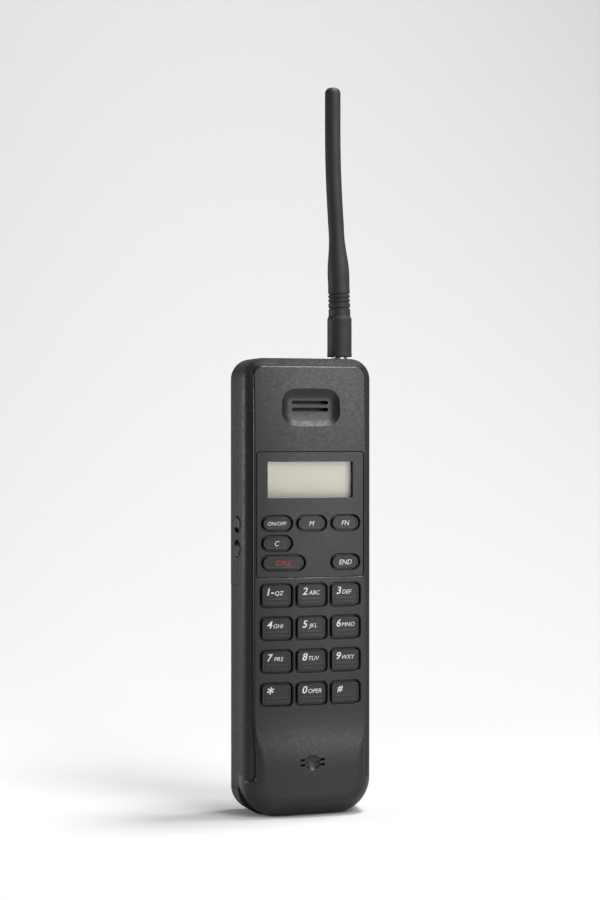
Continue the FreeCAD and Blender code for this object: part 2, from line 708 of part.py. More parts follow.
def front_housing():
    front = -FACE_CREST - CHIN_KICK - 2
    shell = front_shell()

    ear_pad = slab(-EAR_WIDTH / 2 - EAR_PAD_BORDER, EAR_WIDTH / 2 + EAR_PAD_BORDER,
                   EAR_HEIGHT - EAR_TALL / 2 - EAR_PAD_BORDER, EAR_HEIGHT + EAR_TALL / 2 + EAR_PAD_BORDER,
                   front, EAR_PAD_BACK, EAR_CORNER)
    mic_pad = rod(MIC_PAD_RADIUS, 0, MIC_HEIGHT, front, MIC_PAD_BACK)
    posts = [rod(POST_RADIUS, side * POST_SIDE, z, front, BOARD_FRONT)
             for side in (-1, 1) for z in POST_HEIGHTS]
    bosses = [rod(BOSS_RADIUS, side * LOWER_SCREW_SIDE, LOWER_SCREW_HEIGHT, front, FLOOR_FRONT)
              for side in (-1, 1)]
    bosses += [rod(BOSS_RADIUS, side * UPPER_SCREW_SIDE, UPPER_SCREW_HEIGHT, front, FLOOR_BACK)
               for side in (-1, 1)]
    inner = [behind_face(piece, -FACE_WALL / 2) for piece in [ear_pad, mic_pad] + posts]
    inner += [behind_face(piece, -FACE_WALL).common(front_slab(WALL / 2, -10.5, PARTING + 2))
              for piece in bosses]
    shell = fused(shell, *inner)

    recess = panel_slab(PANEL_GAP, front, 0)
    floor = behind_face(recess, -PANEL_RECESS - PANEL_WALL)
    shell = shell.cut(recess.cut(floor))

    cutters = [number_opening(x, z, front, BOARD_FRONT - 2) for name, x, z in number_key_places()]
    cutters += [function_opening(place, front, BOARD_FRONT - 2, 0.2) for place in function_key_places()]
    cutters.append(window_slab(WINDOW_BORDER + FIT_GAP, front, BOARD_FRONT - 2))
    cutters += ear_slots(front, EAR_PAD_BACK + 1)
    cutters.append(ear_dish())
    cutters += mic_openings(front)
    cutters += [side_opening(z, height, -HALF_WIDTH - 2, -HALF_WIDTH + WALL + 1, SIDE_GAP)
                for name, z, height in side_button_places()]
    cutters += [rod(INSERT_RADIUS + INSERT_GAP, side * LOWER_SCREW_SIDE, LOWER_SCREW_HEIGHT,
                    FLOOR_FRONT - SCREW_BITE - 1, FLOOR_FRONT + 1) for side in (-1, 1)]
    cutters += [rod(INSERT_RADIUS + INSERT_GAP, side * UPPER_SCREW_SIDE, UPPER_SCREW_HEIGHT,
                    FLOOR_BACK - SCREW_BITE - 1, FLOOR_BACK + 1) for side in (-1, 1)]
    cutters += [rod(SMALL_SCREW_RADIUS + THREAD_GAP, side * POST_SIDE, z, BOARD_FRONT - 2, BOARD_FRONT + 1)
                for side in (-1, 1) for z in POST_HEIGHTS]
    cutters.append(socket_space())
    shell = shell.cut(cutters)

    key_wires = []
    for name, x, z in number_key_places():
        half_width = KEY_WIDTH / 2 + KEY_GAP
        half_height = KEY_HEIGHT / 2 + KEY_GAP
        key_wires.append(rounded_wire(x - half_width, x + half_width, z - half_height, z + half_height, 0,
                                      KEY_CORNER + KEY_GAP, KEY_CORNER + KEY_GAP))
    shell = chamfered(shell, key_wires, OPENING_CHAMFER, -FACE_CREST + FACE_WALL - 0.3)
    half = PANEL_HALF_WIDTH + PANEL_GAP
    corner = PANEL_CORNER + PANEL_GAP
    rim = rounded_wire(-half, half, PANEL_BOTTOM - PANEL_GAP, PANEL_TOP + PANEL_GAP, 0, corner, corner)
    return chamfered(shell, [rim], PANEL_CHAMFER, -FACE_CREST + 1.5)


def socket_space():
    """Room for the antenna socket: a hole through the top wall and a wider seat under it."""
    collar = post(COLLAR_RADIUS + FIT_GAP, ANTENNA_X, ANTENNA_Y, BODY_HEIGHT - WALL - 1, BODY_HEIGHT + 1)
    seat = post(SOCKET_RADIUS + FIT_GAP, ANTENNA_X, ANTENNA_Y, BODY_HEIGHT - WALL - SOCKET_DEPTH,
                BODY_HEIGHT - WALL)
    return collar.fuse(seat)


def rounded_back(inset, front, back):
    """The casing's rear half with its back edges rounded."""
    blank = rear_slab(inset, front, back)
    edges = [edge for edge in blank.Edges if min(v.Point.y for v in edge.Vertexes) > back - 1e-3]
    return blank.makeFillet(BACK_ROUND - inset, edges)


def rear_housing():
    outer = rounded_back(0, REAR_FRONT, BACK_DEPTH)
    root = TONGUE_ROOT + REAR_FRONT
    tongue_front = PARTING - TONGUE_LENGTH
    tongue = front_slab(TONGUE_INSET, tongue_front, root)
    step = rear_slab(WALL - TONGUE_OVERLAP, REAR_FRONT, root)
    pieces = [above(shape, BAY_TOP) for shape in (outer, tongue, step)]
    pieces += [below(shape, BAY_BOTTOM) for shape in (outer, tongue, step)]
    pieces.append(front_slab(TONGUE_INSET, FLOOR_FRONT, FLOOR_BACK))
    mic_post = rod(MIC_RADIUS, 0, MIC_HEIGHT, MIC_PAD_BACK + BOOT_LENGTH, FLOOR_FRONT + 0.5)
    shell = fused(pieces[0], *(pieces[1:] + [mic_post]))

    lip = TONGUE_INSET + TONGUE_WALL
    shell = shell.cut(above(rear_slab(WALL, root, BACK_INNER), BAY_CEILING))
    shell = shell.cut(above(front_slab(lip, tongue_front - 1, root), BAY_CEILING))
    shell = shell.cut(below(front_slab(lip, tongue_front - 1, BACK_INNER - 1), BAY_BOTTOM - WALL))

    additions = []
    for side in (-1, 1):
        boss = rod(BOSS_RADIUS, side * UPPER_SCREW_SIDE, UPPER_SCREW_HEIGHT, FLOOR_BACK, BACK_INNER + 0.5)
        additions.append(boss)
        for z in BOARD_SCREW_HEIGHTS:
            additions.append(rod(2.2, side * BOARD_SCREW_SIDE, z, MAIN_BOARD_BACK, BACK_INNER + 0.5))
    pad_half = LATCH_HALF_WIDTH + 3
    pad_top = LATCH_BOTTOM + LATCH_TALL + LATCH_TRAVEL + 3
    pad_front = BACK_DEPTH - LATCH_PAD_WALL
    additions.append(box(-pad_half, pad_half, pad_front, BACK_INNER + 0.5, BAY_CEILING - 0.5, pad_top))
    rib_bottom = spring_foot() + SPRING_LENGTH
    additions.append(box(-LATCH_SHANK_HALF, LATCH_SHANK_HALF, LATCH_FOOT_FRONT - 0.6, pad_front + 0.5,
                         rib_bottom, rib_bottom + 1.5))
    shell = fused(shell, *additions)

    cutters = [side_opening(z, height, -HALF_WIDTH - 2, -HALF_WIDTH + WALL + 1, SIDE_GAP)
               for name, z, height in side_button_places()]
    highest = max(z + height / 2 for name, z, height in side_button_places()) + SIDE_LIP + 0.8
    lowest = min(z - height / 2 for name, z, height in side_button_places()) - SIDE_LIP - 0.8
    reach = SIDE_LENGTH / 2 + SIDE_LIP + 0.8
    cutters.append(box(-HALF_WIDTH + WALL, -HALF_WIDTH + lip + 0.5, SIDE_CENTRE_Y - reach,
                       SIDE_CENTRE_Y + reach, lowest, highest))
    for side in (-1, 1):
        cutters.append(rod(SCREW_RADIUS + SCREW_CLEARANCE, side * UPPER_SCREW_SIDE, UPPER_SCREW_HEIGHT,
                           FLOOR_BACK - 1, BACK_DEPTH))
        cutters.append(rod(SCREW_HEAD_RADIUS + SCREW_CLEARANCE, side * UPPER_SCREW_SIDE, UPPER_SCREW_HEIGHT,
                           UPPER_SCREW_SEAT, BACK_DEPTH + 1))
        cutters.append(rod(SCREW_RADIUS + SCREW_CLEARANCE, side * LOWER_SCREW_SIDE, LOWER_SCREW_HEIGHT,
                           FLOOR_FRONT - 1, FLOOR_BACK + 1))
        cutters.append(rod(SCREW_HEAD_RADIUS + SCREW_CLEARANCE, side * LOWER_SCREW_SIDE, LOWER_SCREW_HEIGHT,
                           FLOOR_BACK - SCREW_HEAD, FLOOR_BACK + 1))
        for z in BOARD_SCREW_HEIGHTS:
            cutters.append(rod(SMALL_SCREW_RADIUS + THREAD_GAP, side * BOARD_SCREW_SIDE, z,
                               MAIN_BOARD_BACK - 1, MAIN_BOARD_BACK + 2.4))
    cutters += latch_cuts()
    cutters += [rod(TERMINAL_RADIUS + FIT_GAP, x, TERMINAL_HEIGHT, FLOOR_FRONT - 1, FLOOR_BACK + 1)
                for x in TERMINALS]
    cutters += [post(CHARGE_RADIUS + 0.03, x, CHARGE_Y, -1, lip + 1) for x in CHARGE_PLACES]
    cutters += ringer_slots()
    cutters.append(socket_space())
    return shell.cut(cutters)


def ringer_slots():
    return [pill(RINGER_X, RINGER_HEIGHT + rise, 7.0, 1.0, BACK_INNER - 0.5, BACK_DEPTH + 1)
            for rise in (-2.0, 0.0, 2.0)]


def latch_cuts():
    """The thumb pocket in the back, the slot in its floor and the slot in the bay's ceiling."""
    half = LATCH_HALF_WIDTH + LATCH_POCKET_GAP
    bottom = LATCH_BOTTOM - LATCH_POCKET_GAP
    top = LATCH_BOTTOM + LATCH_TALL + LATCH_TRAVEL + LATCH_POCKET_GAP
    pocket = slab(-half, half, bottom, top, BACK_DEPTH - LATCH_POCKET, BACK_DEPTH + 1, 1.6)
    shank = LATCH_SHANK_HALF + LATCH_GAP
    low = shank_bottom() - LATCH_GAP
    high = shank_bottom() + LATCH_SHANK_TALL + LATCH_TRAVEL + LATCH_GAP
    slot = box(-shank, shank, BACK_DEPTH - LATCH_PAD_WALL - 0.5, BACK_DEPTH, low, high)
    back = LATCH_FOOT_FRONT + LATCH_FOOT_DEPTH + LATCH_GAP
    door = box(-shank, shank, LATCH_FOOT_FRONT - LATCH_GAP, back, BAY_TOP - 1, BAY_CEILING + 1)
    return [pocket, slot, door]


def shank_bottom():
    return LATCH_BOTTOM + 1.2


def spring_foot():
    return shank_bottom() + LATCH_SHANK_TALL


def battery_latch():
    """A ribbed thumb plate on the back, joined through the wall to a foot with a nose."""
    plate_back = BACK_DEPTH - LATCH_POCKET + 0.1 + LATCH_PLATE
    plate_front = plate_back - LATCH_PLATE
    half = LATCH_HALF_WIDTH
    top = LATCH_BOTTOM + LATCH_TALL
    plate = slab(-half, half, LATCH_BOTTOM, top, plate_front, plate_back, 1.2)
    foot_back = LATCH_FOOT_FRONT + LATCH_FOOT_DEPTH
    low = shank_bottom()
    high = low + LATCH_SHANK_TALL
    shank = box(-LATCH_SHANK_HALF, LATCH_SHANK_HALF, foot_back - 0.5, plate_front + 0.3, low, high)
    foot = box(-LATCH_SHANK_HALF, LATCH_SHANK_HALF, LATCH_FOOT_FRONT, foot_back,
               BAY_TOP - PACK_GAP - LATCH_BITE, high)
    latch = fused(plate, shank, foot)
    grooves = []
    for index in range(4):
        z = LATCH_BOTTOM + 2.1 + index * 1.6
        grooves.append(box(-half + 1.5, half - 1.5, plate_back - 0.35, plate_back + 1, z, z + 0.7))
    return latch.cut(grooves)


def latch_spring():
    helix = Part.makeHelix((SPRING_LENGTH - 2 * SPRING_WIRE) / SPRING_TURNS,
                           SPRING_LENGTH - 2 * SPRING_WIRE, SPRING_RADIUS)
    start = Vector(SPRING_RADIUS, 0, 0)
    section = Part.Wire(Part.makeCircle(SPRING_WIRE, start, Vector(0, 1, 0.2)))
    coil = Part.Wire(helix).makePipeShell([section], True, True)
    coil.translate(Vector(0, LATCH_FOOT_FRONT + LATCH_FOOT_DEPTH / 2, spring_foot() + SPRING_WIRE))
    return coil


def control_panel():
    front = -FACE_CREST - 2
    sheet = behind_face(panel_slab(0, front, 0), -PANEL_RECESS)
    sheet = sheet.cut(behind_face(panel_slab(1, front, 1), -PANEL_RECESS - PANEL_WALL))
    cutters = [function_opening(place, front, 0) for place in function_key_places()]
    cutters.append(window_slab(0, front, 0))
    sheet = sheet.cut(cutters)
    wires = []
    for name, x, z, width in function_key_places():
        half_width = width / 2 + FUNCTION_GAP
        half_height = FUNCTION_HEIGHT / 2 + FUNCTION_GAP
        wires.append(rounded_wire(x - half_width, x + half_width, z - half_height, z + half_height, 0,
                                  half_height * 0.999, half_height * 0.999))
    return chamfered_front(sheet, wires, PANEL_CHAMFER)


def chamfered_front(sheet, wires, distance):
    """Breaks an opening's edges on the outer side of a thin crowned sheet."""
    chosen = []
    for edge in sheet.Edges:
        first, last = edge.ParameterRange
        point = edge.valueAt((first + last) / 2)
        depth = math.hypot(point.x, point.y - CROWN_CENTRE)
        if depth < CROWN_RADIUS - PANEL_RECESS - PANEL_WALL / 2:
            continue
        for wire in wires:
            if on_outline(edge, wire, 0):
                chosen.append(edge)
                break
    return sheet.makeChamfer(distance, chosen)


def lcd_window():
    front = -FACE_CREST - 2
    outer = behind_face(window_slab(WINDOW_BORDER, front, 0), -PANEL_RECESS - PANEL_WALL)
    return outer.cut(behind_face(window_slab(WINDOW_BORDER + 1, front, 1),
                                 -PANEL_RECESS - PANEL_WALL - WINDOW_WALL))


def lcd_frame():
    front = -FACE_CREST - 2
    outer = behind_face(window_slab(FRAME_BORDER, front, BOARD_FRONT), -FACE_WALL)
    pocket = window_slab(GLASS_BORDER + FIT_GAP, BOARD_FRONT - GLASS_WALL - FIT_GAP / 2, BOARD_FRONT + 1)
    return outer.cut([window_slab(0.1, front, BOARD_FRONT + 1), pocket])


def lcd_glass():
    return window_slab(GLASS_BORDER, BOARD_FRONT - GLASS_WALL, BOARD_FRONT)


def key_body(cap, flange, ribs, inner):
    """A key: a cap that follows the crown, a shallow dish in it, ribs, and a lip behind the wall."""
    cap = behind_face(cap, KEY_PROUD)
    if inner is not None:
        cap = cap.cut(inner.cut(behind_face(inner, KEY_PROUD - KEY_DISH)))
    pieces = [behind_face(flange, -FACE_WALL - KEY_CLEARANCE)]
    pieces += [behind_face(rib, KEY_PROUD - KEY_DISH + RIB_HEIGHT) for rib in ribs]
    return fused(cap, *pieces)


def number_key(x, z):
    front = -FACE_CREST - 2
    half_width = KEY_WIDTH / 2
    half_height = KEY_HEIGHT / 2
    cap = slab(x - half_width, x + half_width, z - half_height, z + half_height, front, KEY_BACK, KEY_CORNER)
    lip_width = half_width + KEY_GAP + KEY_LIP
    lip_height = half_height + KEY_GAP + KEY_LIP
    flange = slab(x - lip_width, x + lip_width, z - lip_height, z + lip_height, front, KEY_BACK,
                  KEY_CORNER + KEY_GAP)
    ribs = []
    for drop in RIB_DROPS:
        ribs.append(slab(x - RIB_LENGTH / 2, x + RIB_LENGTH / 2, z - drop - RIB_WIDTH / 2,
                         z - drop + RIB_WIDTH / 2, front, KEY_BACK - 1, 0.3))
    inner = slab(x - half_width + KEY_RIM, x + half_width - KEY_RIM, z - half_height + KEY_RIM,
                 z + half_height - KEY_RIM, front, KEY_BACK - 1, KEY_CORNER - KEY_RIM / 2)
    return key_body(cap, flange, ribs, inner)


def function_key(place):
    name, x, z, width = place
    front = -FACE_CREST - 2
    cap = pill(x, z, width, FUNCTION_HEIGHT, front, KEY_BACK)
    grow = 2 * (FUNCTION_GAP + KEY_LIP + 0.2)
    flange = pill(x, z, width + grow, FUNCTION_HEIGHT + grow, front, KEY_BACK)
    inner = pill(x, z, width - 2 * KEY_RIM, FUNCTION_HEIGHT - 2 * KEY_RIM, front, KEY_BACK - 1)
    return key_body(cap, flange, [], inner)


def keypad_mat():
    half = BOARD_HALF_WIDTH
    top = WINDOW_BOTTOM - FRAME_BORDER - 0.5
    sheet = box(-half, half, MAT_FRONT, BOARD_FRONT, BOARD_BOTTOM + MAT_MARGIN, top)
    boss_front = KEY_BACK + KEY_TRAVEL + 0.2
    bosses = []
    for name, x, z in number_key_places():
        bosses.append(slab(x - KEY_WIDTH / 2 + MAT_BOSS_INSET, x + KEY_WIDTH / 2 - MAT_BOSS_INSET,
                           z - KEY_HEIGHT / 2 + 1, z + KEY_HEIGHT / 2 - 1, boss_front, MAT_FRONT + 0.3, 1.0))
    for name, x, z, width in function_key_places():
        bosses.append(pill(x, z, width - 2 * MAT_BOSS_INSET, FUNCTION_HEIGHT - 1.6, boss_front,
                           MAT_FRONT + 0.3))
    mat = fused(sheet, *bosses)
    holes = [rod(POST_HOLE, side * POST_SIDE, z, MAT_FRONT - 1, BOARD_FRONT + 1)
             for side in (-1, 1) for z in POST_HEIGHTS]
    return mat.cut(holes)


def keypad_board():
    half = BOARD_HALF_WIDTH
    board = box(-half, half, BOARD_FRONT, BOARD_BACK, BOARD_BOTTOM, BOARD_TOP)
    holes = [rod(SMALL_SCREW_RADIUS + THREAD_GAP, side * POST_SIDE, z, BOARD_FRONT - 1, BOARD_BACK + 1)
             for side in (-1, 1) for z in POST_HEIGHTS]
    return board.cut(holes)


def screw(x, z, head_back, head, tip, radius, head_radius):
    """A pan-head screw that points towards -Y, with a cross recess in its head."""
    body = rod(head_radius, x, z, head_back - head, head_back)
    body = body.fuse(rod(radius, x, z, tip, head_back - head))
    slot = head_radius * 0.62
    width = head_radius * 0.14
    deep = head_back - head * 0.5
    cross = box(x - slot, x + slot, deep, head_back + 1, z - width, z + width)
    cross = cross.fuse(box(x - width, x + width, deep, head_back + 1, z - slot, z + slot))
    return body.cut(cross)


def housing_screws():
    screws = []
    for side in (-1, 1):
        screws.append(screw(side * UPPER_SCREW_SIDE, UPPER_SCREW_HEIGHT, UPPER_SCREW_SEAT + SCREW_HEAD,
                            SCREW_HEAD, FLOOR_BACK - SCREW_BITE, SCREW_RADIUS, SCREW_HEAD_RADIUS))
        screws.append(screw(side * LOWER_SCREW_SIDE, LOWER_SCREW_HEIGHT, FLOOR_BACK, SCREW_HEAD,
                            FLOOR_FRONT - SCREW_BITE, SCREW_RADIUS, SCREW_HEAD_RADIUS))
    return Part.Compound(screws)


def housing_inserts():
    inserts = []
    for side in (-1, 1):
        for x, z, mouth in ((side * LOWER_SCREW_SIDE, LOWER_SCREW_HEIGHT, FLOOR_FRONT),
                            (side * UPPER_SCREW_SIDE, UPPER_SCREW_HEIGHT, FLOOR_BACK)):
            tube = rod(INSERT_RADIUS, x, z, mouth - SCREW_BITE - 0.5, mouth - 0.1)
            inserts.append(tube.cut(rod(SCREW_RADIUS + THREAD_GAP, x, z, mouth - SCREW_BITE - 2, mouth)))
    return Part.Compound(inserts)


def board_screws():
    """Small screws: from behind into the front posts, and from the front into the rear bosses."""
    screws = []
    for side in (-1, 1):
        for z in POST_HEIGHTS:
            screws.append(screw(side * POST_SIDE, z, BOARD_BACK + SCREW_HEAD, SCREW_HEAD,
                                BOARD_FRONT - 1.8, SMALL_SCREW_RADIUS, SMALL_HEAD_RADIUS))
        for z in BOARD_SCREW_HEIGHTS:
            turned = screw(0, 0, SCREW_HEAD, SCREW_HEAD, -BOARD_WALL - 2.2, SMALL_SCREW_RADIUS,
                           SMALL_HEAD_RADIUS)
            turned.rotate(Vector(0, 0, 0), Vector(0, 0, 1), 180)
            turned.translate(Vector(side * BOARD_SCREW_SIDE, MAIN_BOARD_FRONT, z))
            screws.append(turned)
    return Part.Compound(screws)


def earpiece_gasket():
    ring = rod(SPEAKER_RADIUS, 0, EAR_HEIGHT, EAR_PAD_BACK, EAR_PAD_BACK + GASKET_WALL)
    return ring.cut(rod(SPEAKER_RADIUS - GASKET_WIDTH, 0, EAR_HEIGHT, EAR_PAD_BACK - 1, EAR_PAD_BACK + 2))


def earpiece_speaker():
    front = EAR_PAD_BACK + GASKET_WALL
    basket = rod(SPEAKER_RADIUS, 0, EAR_HEIGHT, front, front + SPEAKER_DEPTH / 2)
    magnet = rod(SPEAKER_MAGNET, 0, EAR_HEIGHT, front + SPEAKER_DEPTH / 2, front + SPEAKER_DEPTH)
    bowl = rod(SPEAKER_RADIUS - GASKET_WIDTH, 0, EAR_HEIGHT, front - 1, front + 0.6)
    return fused(basket, magnet).cut(bowl)


def microphone_boot():
    boot = rod(BOOT_RADIUS, 0, MIC_HEIGHT, MIC_PAD_BACK, MIC_PAD_BACK + BOOT_LENGTH)
    pocket = rod(MIC_RADIUS + 0.02, 0, MIC_HEIGHT, MIC_PAD_BACK + BOOT_LENGTH - MIC_LENGTH,
                 MIC_PAD_BACK + BOOT_LENGTH + 1)
    throat = rod(MIC_RADIUS / 2, 0, MIC_HEIGHT, MIC_PAD_BACK - 1, MIC_PAD_BACK + BOOT_LENGTH)
    return boot.cut([pocket, throat])


def microphone():
    return rod(MIC_RADIUS, 0, MIC_HEIGHT, MIC_PAD_BACK + BOOT_LENGTH - MIC_LENGTH, MIC_PAD_BACK + BOOT_LENGTH)


def side_scoop(z, height, way):
    """A wedge that takes away the cap's end on one side of it, as a cutter."""
    crest = -HALF_WIDTH - SIDE_PROUD
    end = z + way * height / 2
    corners = [Vector(crest - 1, 0, end - way * SCOOP_LENGTH), Vector(crest, 0, end - way * SCOOP_LENGTH),
               Vector(crest + SCOOP_DEPTH, 0, end - way * SIDE_ROUND), Vector(crest + SCOOP_DEPTH, 0, end + way),
               Vector(crest - 1, 0, end + way)]
    face = Part.Face(Part.makePolygon(corners + corners[:1]))
    face.translate(Vector(0, SIDE_CENTRE_Y - SIDE_LENGTH, 0))
    return face.extrude(Vector(0, 2 * SIDE_LENGTH, 0))


def side_button(z, height):
    """A side button: a rounded cap in the wall, a flange behind it and a stem to its switch."""
    wall_inner = -HALF_WIDTH + WALL
    flange_front = wall_inner + 0.3
    flange_back = flange_front + SIDE_FLANGE
    cap = side_opening(z, height, -HALF_WIDTH - SIDE_PROUD, flange_back, 0)
    edges = [edge for edge in cap.Edges if edge.BoundBox.XMax < -HALF_WIDTH - SIDE_PROUD + 1e-3]
    cap = cap.makeFillet(SIDE_ROUND, edges)
    heights = [centre for name, centre, size in side_button_places()]
    way = 1 if z < sum(heights) / len(heights) else -1
    cap = cap.cut(side_scoop(z, height, way))
    flange = side_opening(z, height, flange_front, flange_back, SIDE_GAP + SIDE_LIP)
    stem = box(flange_back - 0.2, flange_back + SIDE_STEM, SIDE_CENTRE_Y - 1.5, SIDE_CENTRE_Y + 1.5,
               z - 1.5, z + 1.5)
    return fused(cap, flange, stem)


def switch_face():
    """Where the side switches' plungers end, just beyond the pressed buttons' stems."""
    return -HALF_WIDTH + WALL + 0.3 + SIDE_FLANGE + SIDE_STEM + SIDE_TRAVEL + 0.15


def side_switches():
    switches = []
    for name, z, height in side_button_places():
        x = switch_face()
        can = box(x + 0.4, x + 2.0, SIDE_CENTRE_Y - 2.2, SIDE_CENTRE_Y + 2.2, z - 2.2, z + 2.2)
        plunger = box(x, x + 0.6, SIDE_CENTRE_Y - 1.2, SIDE_CENTRE_Y + 1.2, z - 1.2, z + 1.2)
        switches.append(fused(can, plunger))
    return Part.Compound(switches)


def side_switch_board():
    x = switch_face() + 2.0
    heights = [z for name, z, height in side_button_places()]
    low = min(heights) - 3.6
    high = max(heights) + 3.6
    return box(x, x + 1.0, SIDE_CENTRE_Y - 3.0, MAIN_BOARD_FRONT, low, high)


def main_board():
    half = MAIN_BOARD_HALF_WIDTH
    board = box(-half, half, MAIN_BOARD_FRONT, MAIN_BOARD_BACK, MAIN_BOARD_BOTTOM, MAIN_BOARD_TOP)
    low = BODY_HEIGHT - WALL - SOCKET_DEPTH - 1.5
    cutters = [box(ANTENNA_X - SOCKET_RADIUS - 1, half + 1, 0, 20, low, BODY_HEIGHT)]
    for side in (-1, 1):
        cutters.append(rod(BOSS_RADIUS + 0.2, side * UPPER_SCREW_SIDE, UPPER_SCREW_HEIGHT, 0, 20))
        cutters += [rod(SMALL_SCREW_RADIUS + THREAD_GAP, side * BOARD_SCREW_SIDE, z, 0, 20)
                    for z in BOARD_SCREW_HEIGHTS]
    corner = box(-half - 1, -half + 4, 0, 20, MAIN_BOARD_TOP - 5, BODY_HEIGHT)
    return board.cut(cutters + [corner])


def shield(place):
    """A folded sheet-metal can, open towards the main board."""
    x0, x1, low_drop, high_drop = place
    z0 = MAIN_BOARD_TOP - low_drop
    z1 = MAIN_BOARD_TOP - high_drop
    front = MAIN_BOARD_FRONT - SHIELD_HEIGHT
    can = box(x0, x1, front, MAIN_BOARD_FRONT, z0, z1)
    t = SHIELD_WALL
    return can.cut(box(x0 + t, x1 - t, front + t, MAIN_BOARD_FRONT + 1, z0 + t, z1 - t))


def board_chips():
    """Packages on the back of the main board."""
    chips = []
    for x, drop, width, tall in CHIPS:
        z = MAIN_BOARD_TOP - drop
        chips.append(box(x, x + width, MAIN_BOARD_BACK, MAIN_BOARD_BACK + CHIP_HEIGHT, z, z + tall))
    return Part.Compound(chips)


def board_connector():
    """The plug between the keypad board and the main board."""
    x0, x1, low_drop, high_drop = CONNECTOR
    return box(x0, x1, BOARD_BACK, MAIN_BOARD_FRONT, MAIN_BOARD_TOP - low_drop, MAIN_BOARD_TOP - high_drop)


def ringer():
    case = rod(RINGER_RADIUS, RINGER_X, RINGER_HEIGHT, MAIN_BOARD_BACK, BACK_INNER)
    return case.cut(rod(1.2, RINGER_X, RINGER_HEIGHT, BACK_INNER - 1, BACK_INNER + 1))


def battery_terminals():
    pins = []
    for x in TERMINALS:
        pin = rod(TERMINAL_RADIUS, x, TERMINAL_HEIGHT, BOARD_BACK + 1.2, REAR_FRONT - SEAM)
        pins.append(fused(pin, rod(TERMINAL_RADIUS * 1.8, x, TERMINAL_HEIGHT, BOARD_BACK, BOARD_BACK + 1.6)))
    return Part.Compound(pins)


def charge_contacts():
    return Part.Compound([post(CHARGE_RADIUS, x, CHARGE_Y, CHARGE_RECESS, CHARGE_LENGTH)
                          for x in CHARGE_PLACES])


def pack_outer():
    shape = rounded_back(PACK_INSET, REAR_FRONT, BACK_DEPTH - PACK_INSET)
    return below(above(shape, BAY_BOTTOM + PACK_GAP), BAY_TOP - PACK_GAP)


def pack_cavity(gap, y0, y1):
    """The space inside the battery case, less a gap."""
    inset = PACK_INSET + PACK_WALL + gap
    low = BAY_BOTTOM + PACK_GAP + PACK_WALL + gap
    high = BAY_TOP - PACK_GAP - PACK_TOP_WALL - gap
    return box(inset - HALF_WIDTH, HALF_WIDTH - inset, y0, y1, low, high)


def battery_case():
    case = pack_outer().cut(pack_cavity(0, REAR_FRONT - 1, BACK_DEPTH - PACK_INSET - PACK_WALL))
    heights, depth = cell_places()
    inset = PACK_INSET + PACK_WALL / 2
    for z0, z1 in ((heights[0] - CELL_RADIUS - 0.15 - RIB_WALL, heights[0] - CELL_RADIUS - 0.15),
                   (heights[-1] + CELL_RADIUS + 0.15, heights[-1] + CELL_RADIUS + 0.15 + RIB_WALL)):
        case = case.fuse(box(inset - HALF_WIDTH, HALF_WIDTH - inset, depth - 1.5,
                             BACK_DEPTH - PACK_INSET - PACK_WALL / 2, z0, z1))
    case = case.removeSplitter()
    half = LATCH_SHANK_HALF + LATCH_GAP
    back = LATCH_FOOT_FRONT + LATCH_FOOT_DEPTH + LATCH_GAP
    groove = box(-half, half, REAR_FRONT - 1, back, BAY_TOP - PACK_GAP - LATCH_BITE - LATCH_GAP, BAY_TOP)
    return case.cut(groove)


def battery_lid():
    lid = pack_cavity(LID_GAP, REAR_FRONT, REAR_FRONT + LID_WALL)
    pads = [box(x - 2.1, x + 2.1, REAR_FRONT - 1, REAR_FRONT + 0.4, TERMINAL_HEIGHT - 2.6, TERMINAL_HEIGHT + 2.6)
            for x in TERMINALS]
    return lid.cut(pads)


def battery_contacts():
    return Part.Compound([box(x - 2.0, x + 2.0, REAR_FRONT, REAR_FRONT + 0.4, TERMINAL_HEIGHT - 2.5,
                              TERMINAL_HEIGHT + 2.5) for x in TERMINALS])


def cell_places():
    """Heights of the cells' axes, as many as the pack holds, and their shared depth."""
    low = BAY_BOTTOM + PACK_GAP + PACK_WALL
    high = BAY_TOP - PACK_GAP - PACK_TOP_WALL
    middle = (low + high) / 2
    depth = (REAR_FRONT + LID_WALL + BACK_DEPTH - PACK_INSET - PACK_WALL) / 2
    count = int((high - low - PACK_CIRCUIT_SPACE) / CELL_PITCH)
    heights = [middle + (index - (count - 1) / 2) * CELL_PITCH for index in range(count)]
    return heights, depth


def battery_cells():
    heights, depth = cell_places()
    cells = []
    for index, z in enumerate(heights):
        way = 1 if index % 2 else -1
        can_length = CELL_LENGTH - CELL_CAP_HEIGHT
        can = Part.makeCylinder(CELL_RADIUS, can_length, Vector(-way * CELL_LENGTH / 2, depth, z),
                                Vector(way, 0, 0))
        tip = Part.makeCylinder(CELL_CAP_RADIUS, CELL_CAP_HEIGHT,
                                Vector(way * (CELL_LENGTH / 2 - CELL_CAP_HEIGHT), depth, z), Vector(way, 0, 0))
        cells.append(fused(can, tip))
    return Part.Compound(cells)


def battery_straps():
    """Nickel straps that join neighbouring cells in series, on alternate ends."""
    heights, depth = cell_places()
    straps = []
    for index in range(len(heights) - 1):
        side = 1 if index % 2 else -1
        x = side * CELL_LENGTH / 2
        x0, x1 = min(x, x + side * STRAP_WALL), max(x, x + side * STRAP_WALL)
        straps.append(box(x0, x1, depth - STRAP_WIDTH / 2, depth + STRAP_WIDTH / 2, heights[index] - 1.5,
                          heights[index + 1] + 1.5))
    return Part.Compound(straps)


def turned(points):
    """A solid of revolution about the antenna's axis from radius and height pairs."""
    corners = [Vector(ANTENNA_X + radius, ANTENNA_Y, z) for radius, z in points]
    face = Part.Face(Part.makePolygon(corners + corners[:1]))
    return face.revolve(Vector(ANTENNA_X, ANTENNA_Y, 0), Vector(0, 0, 1), 360)


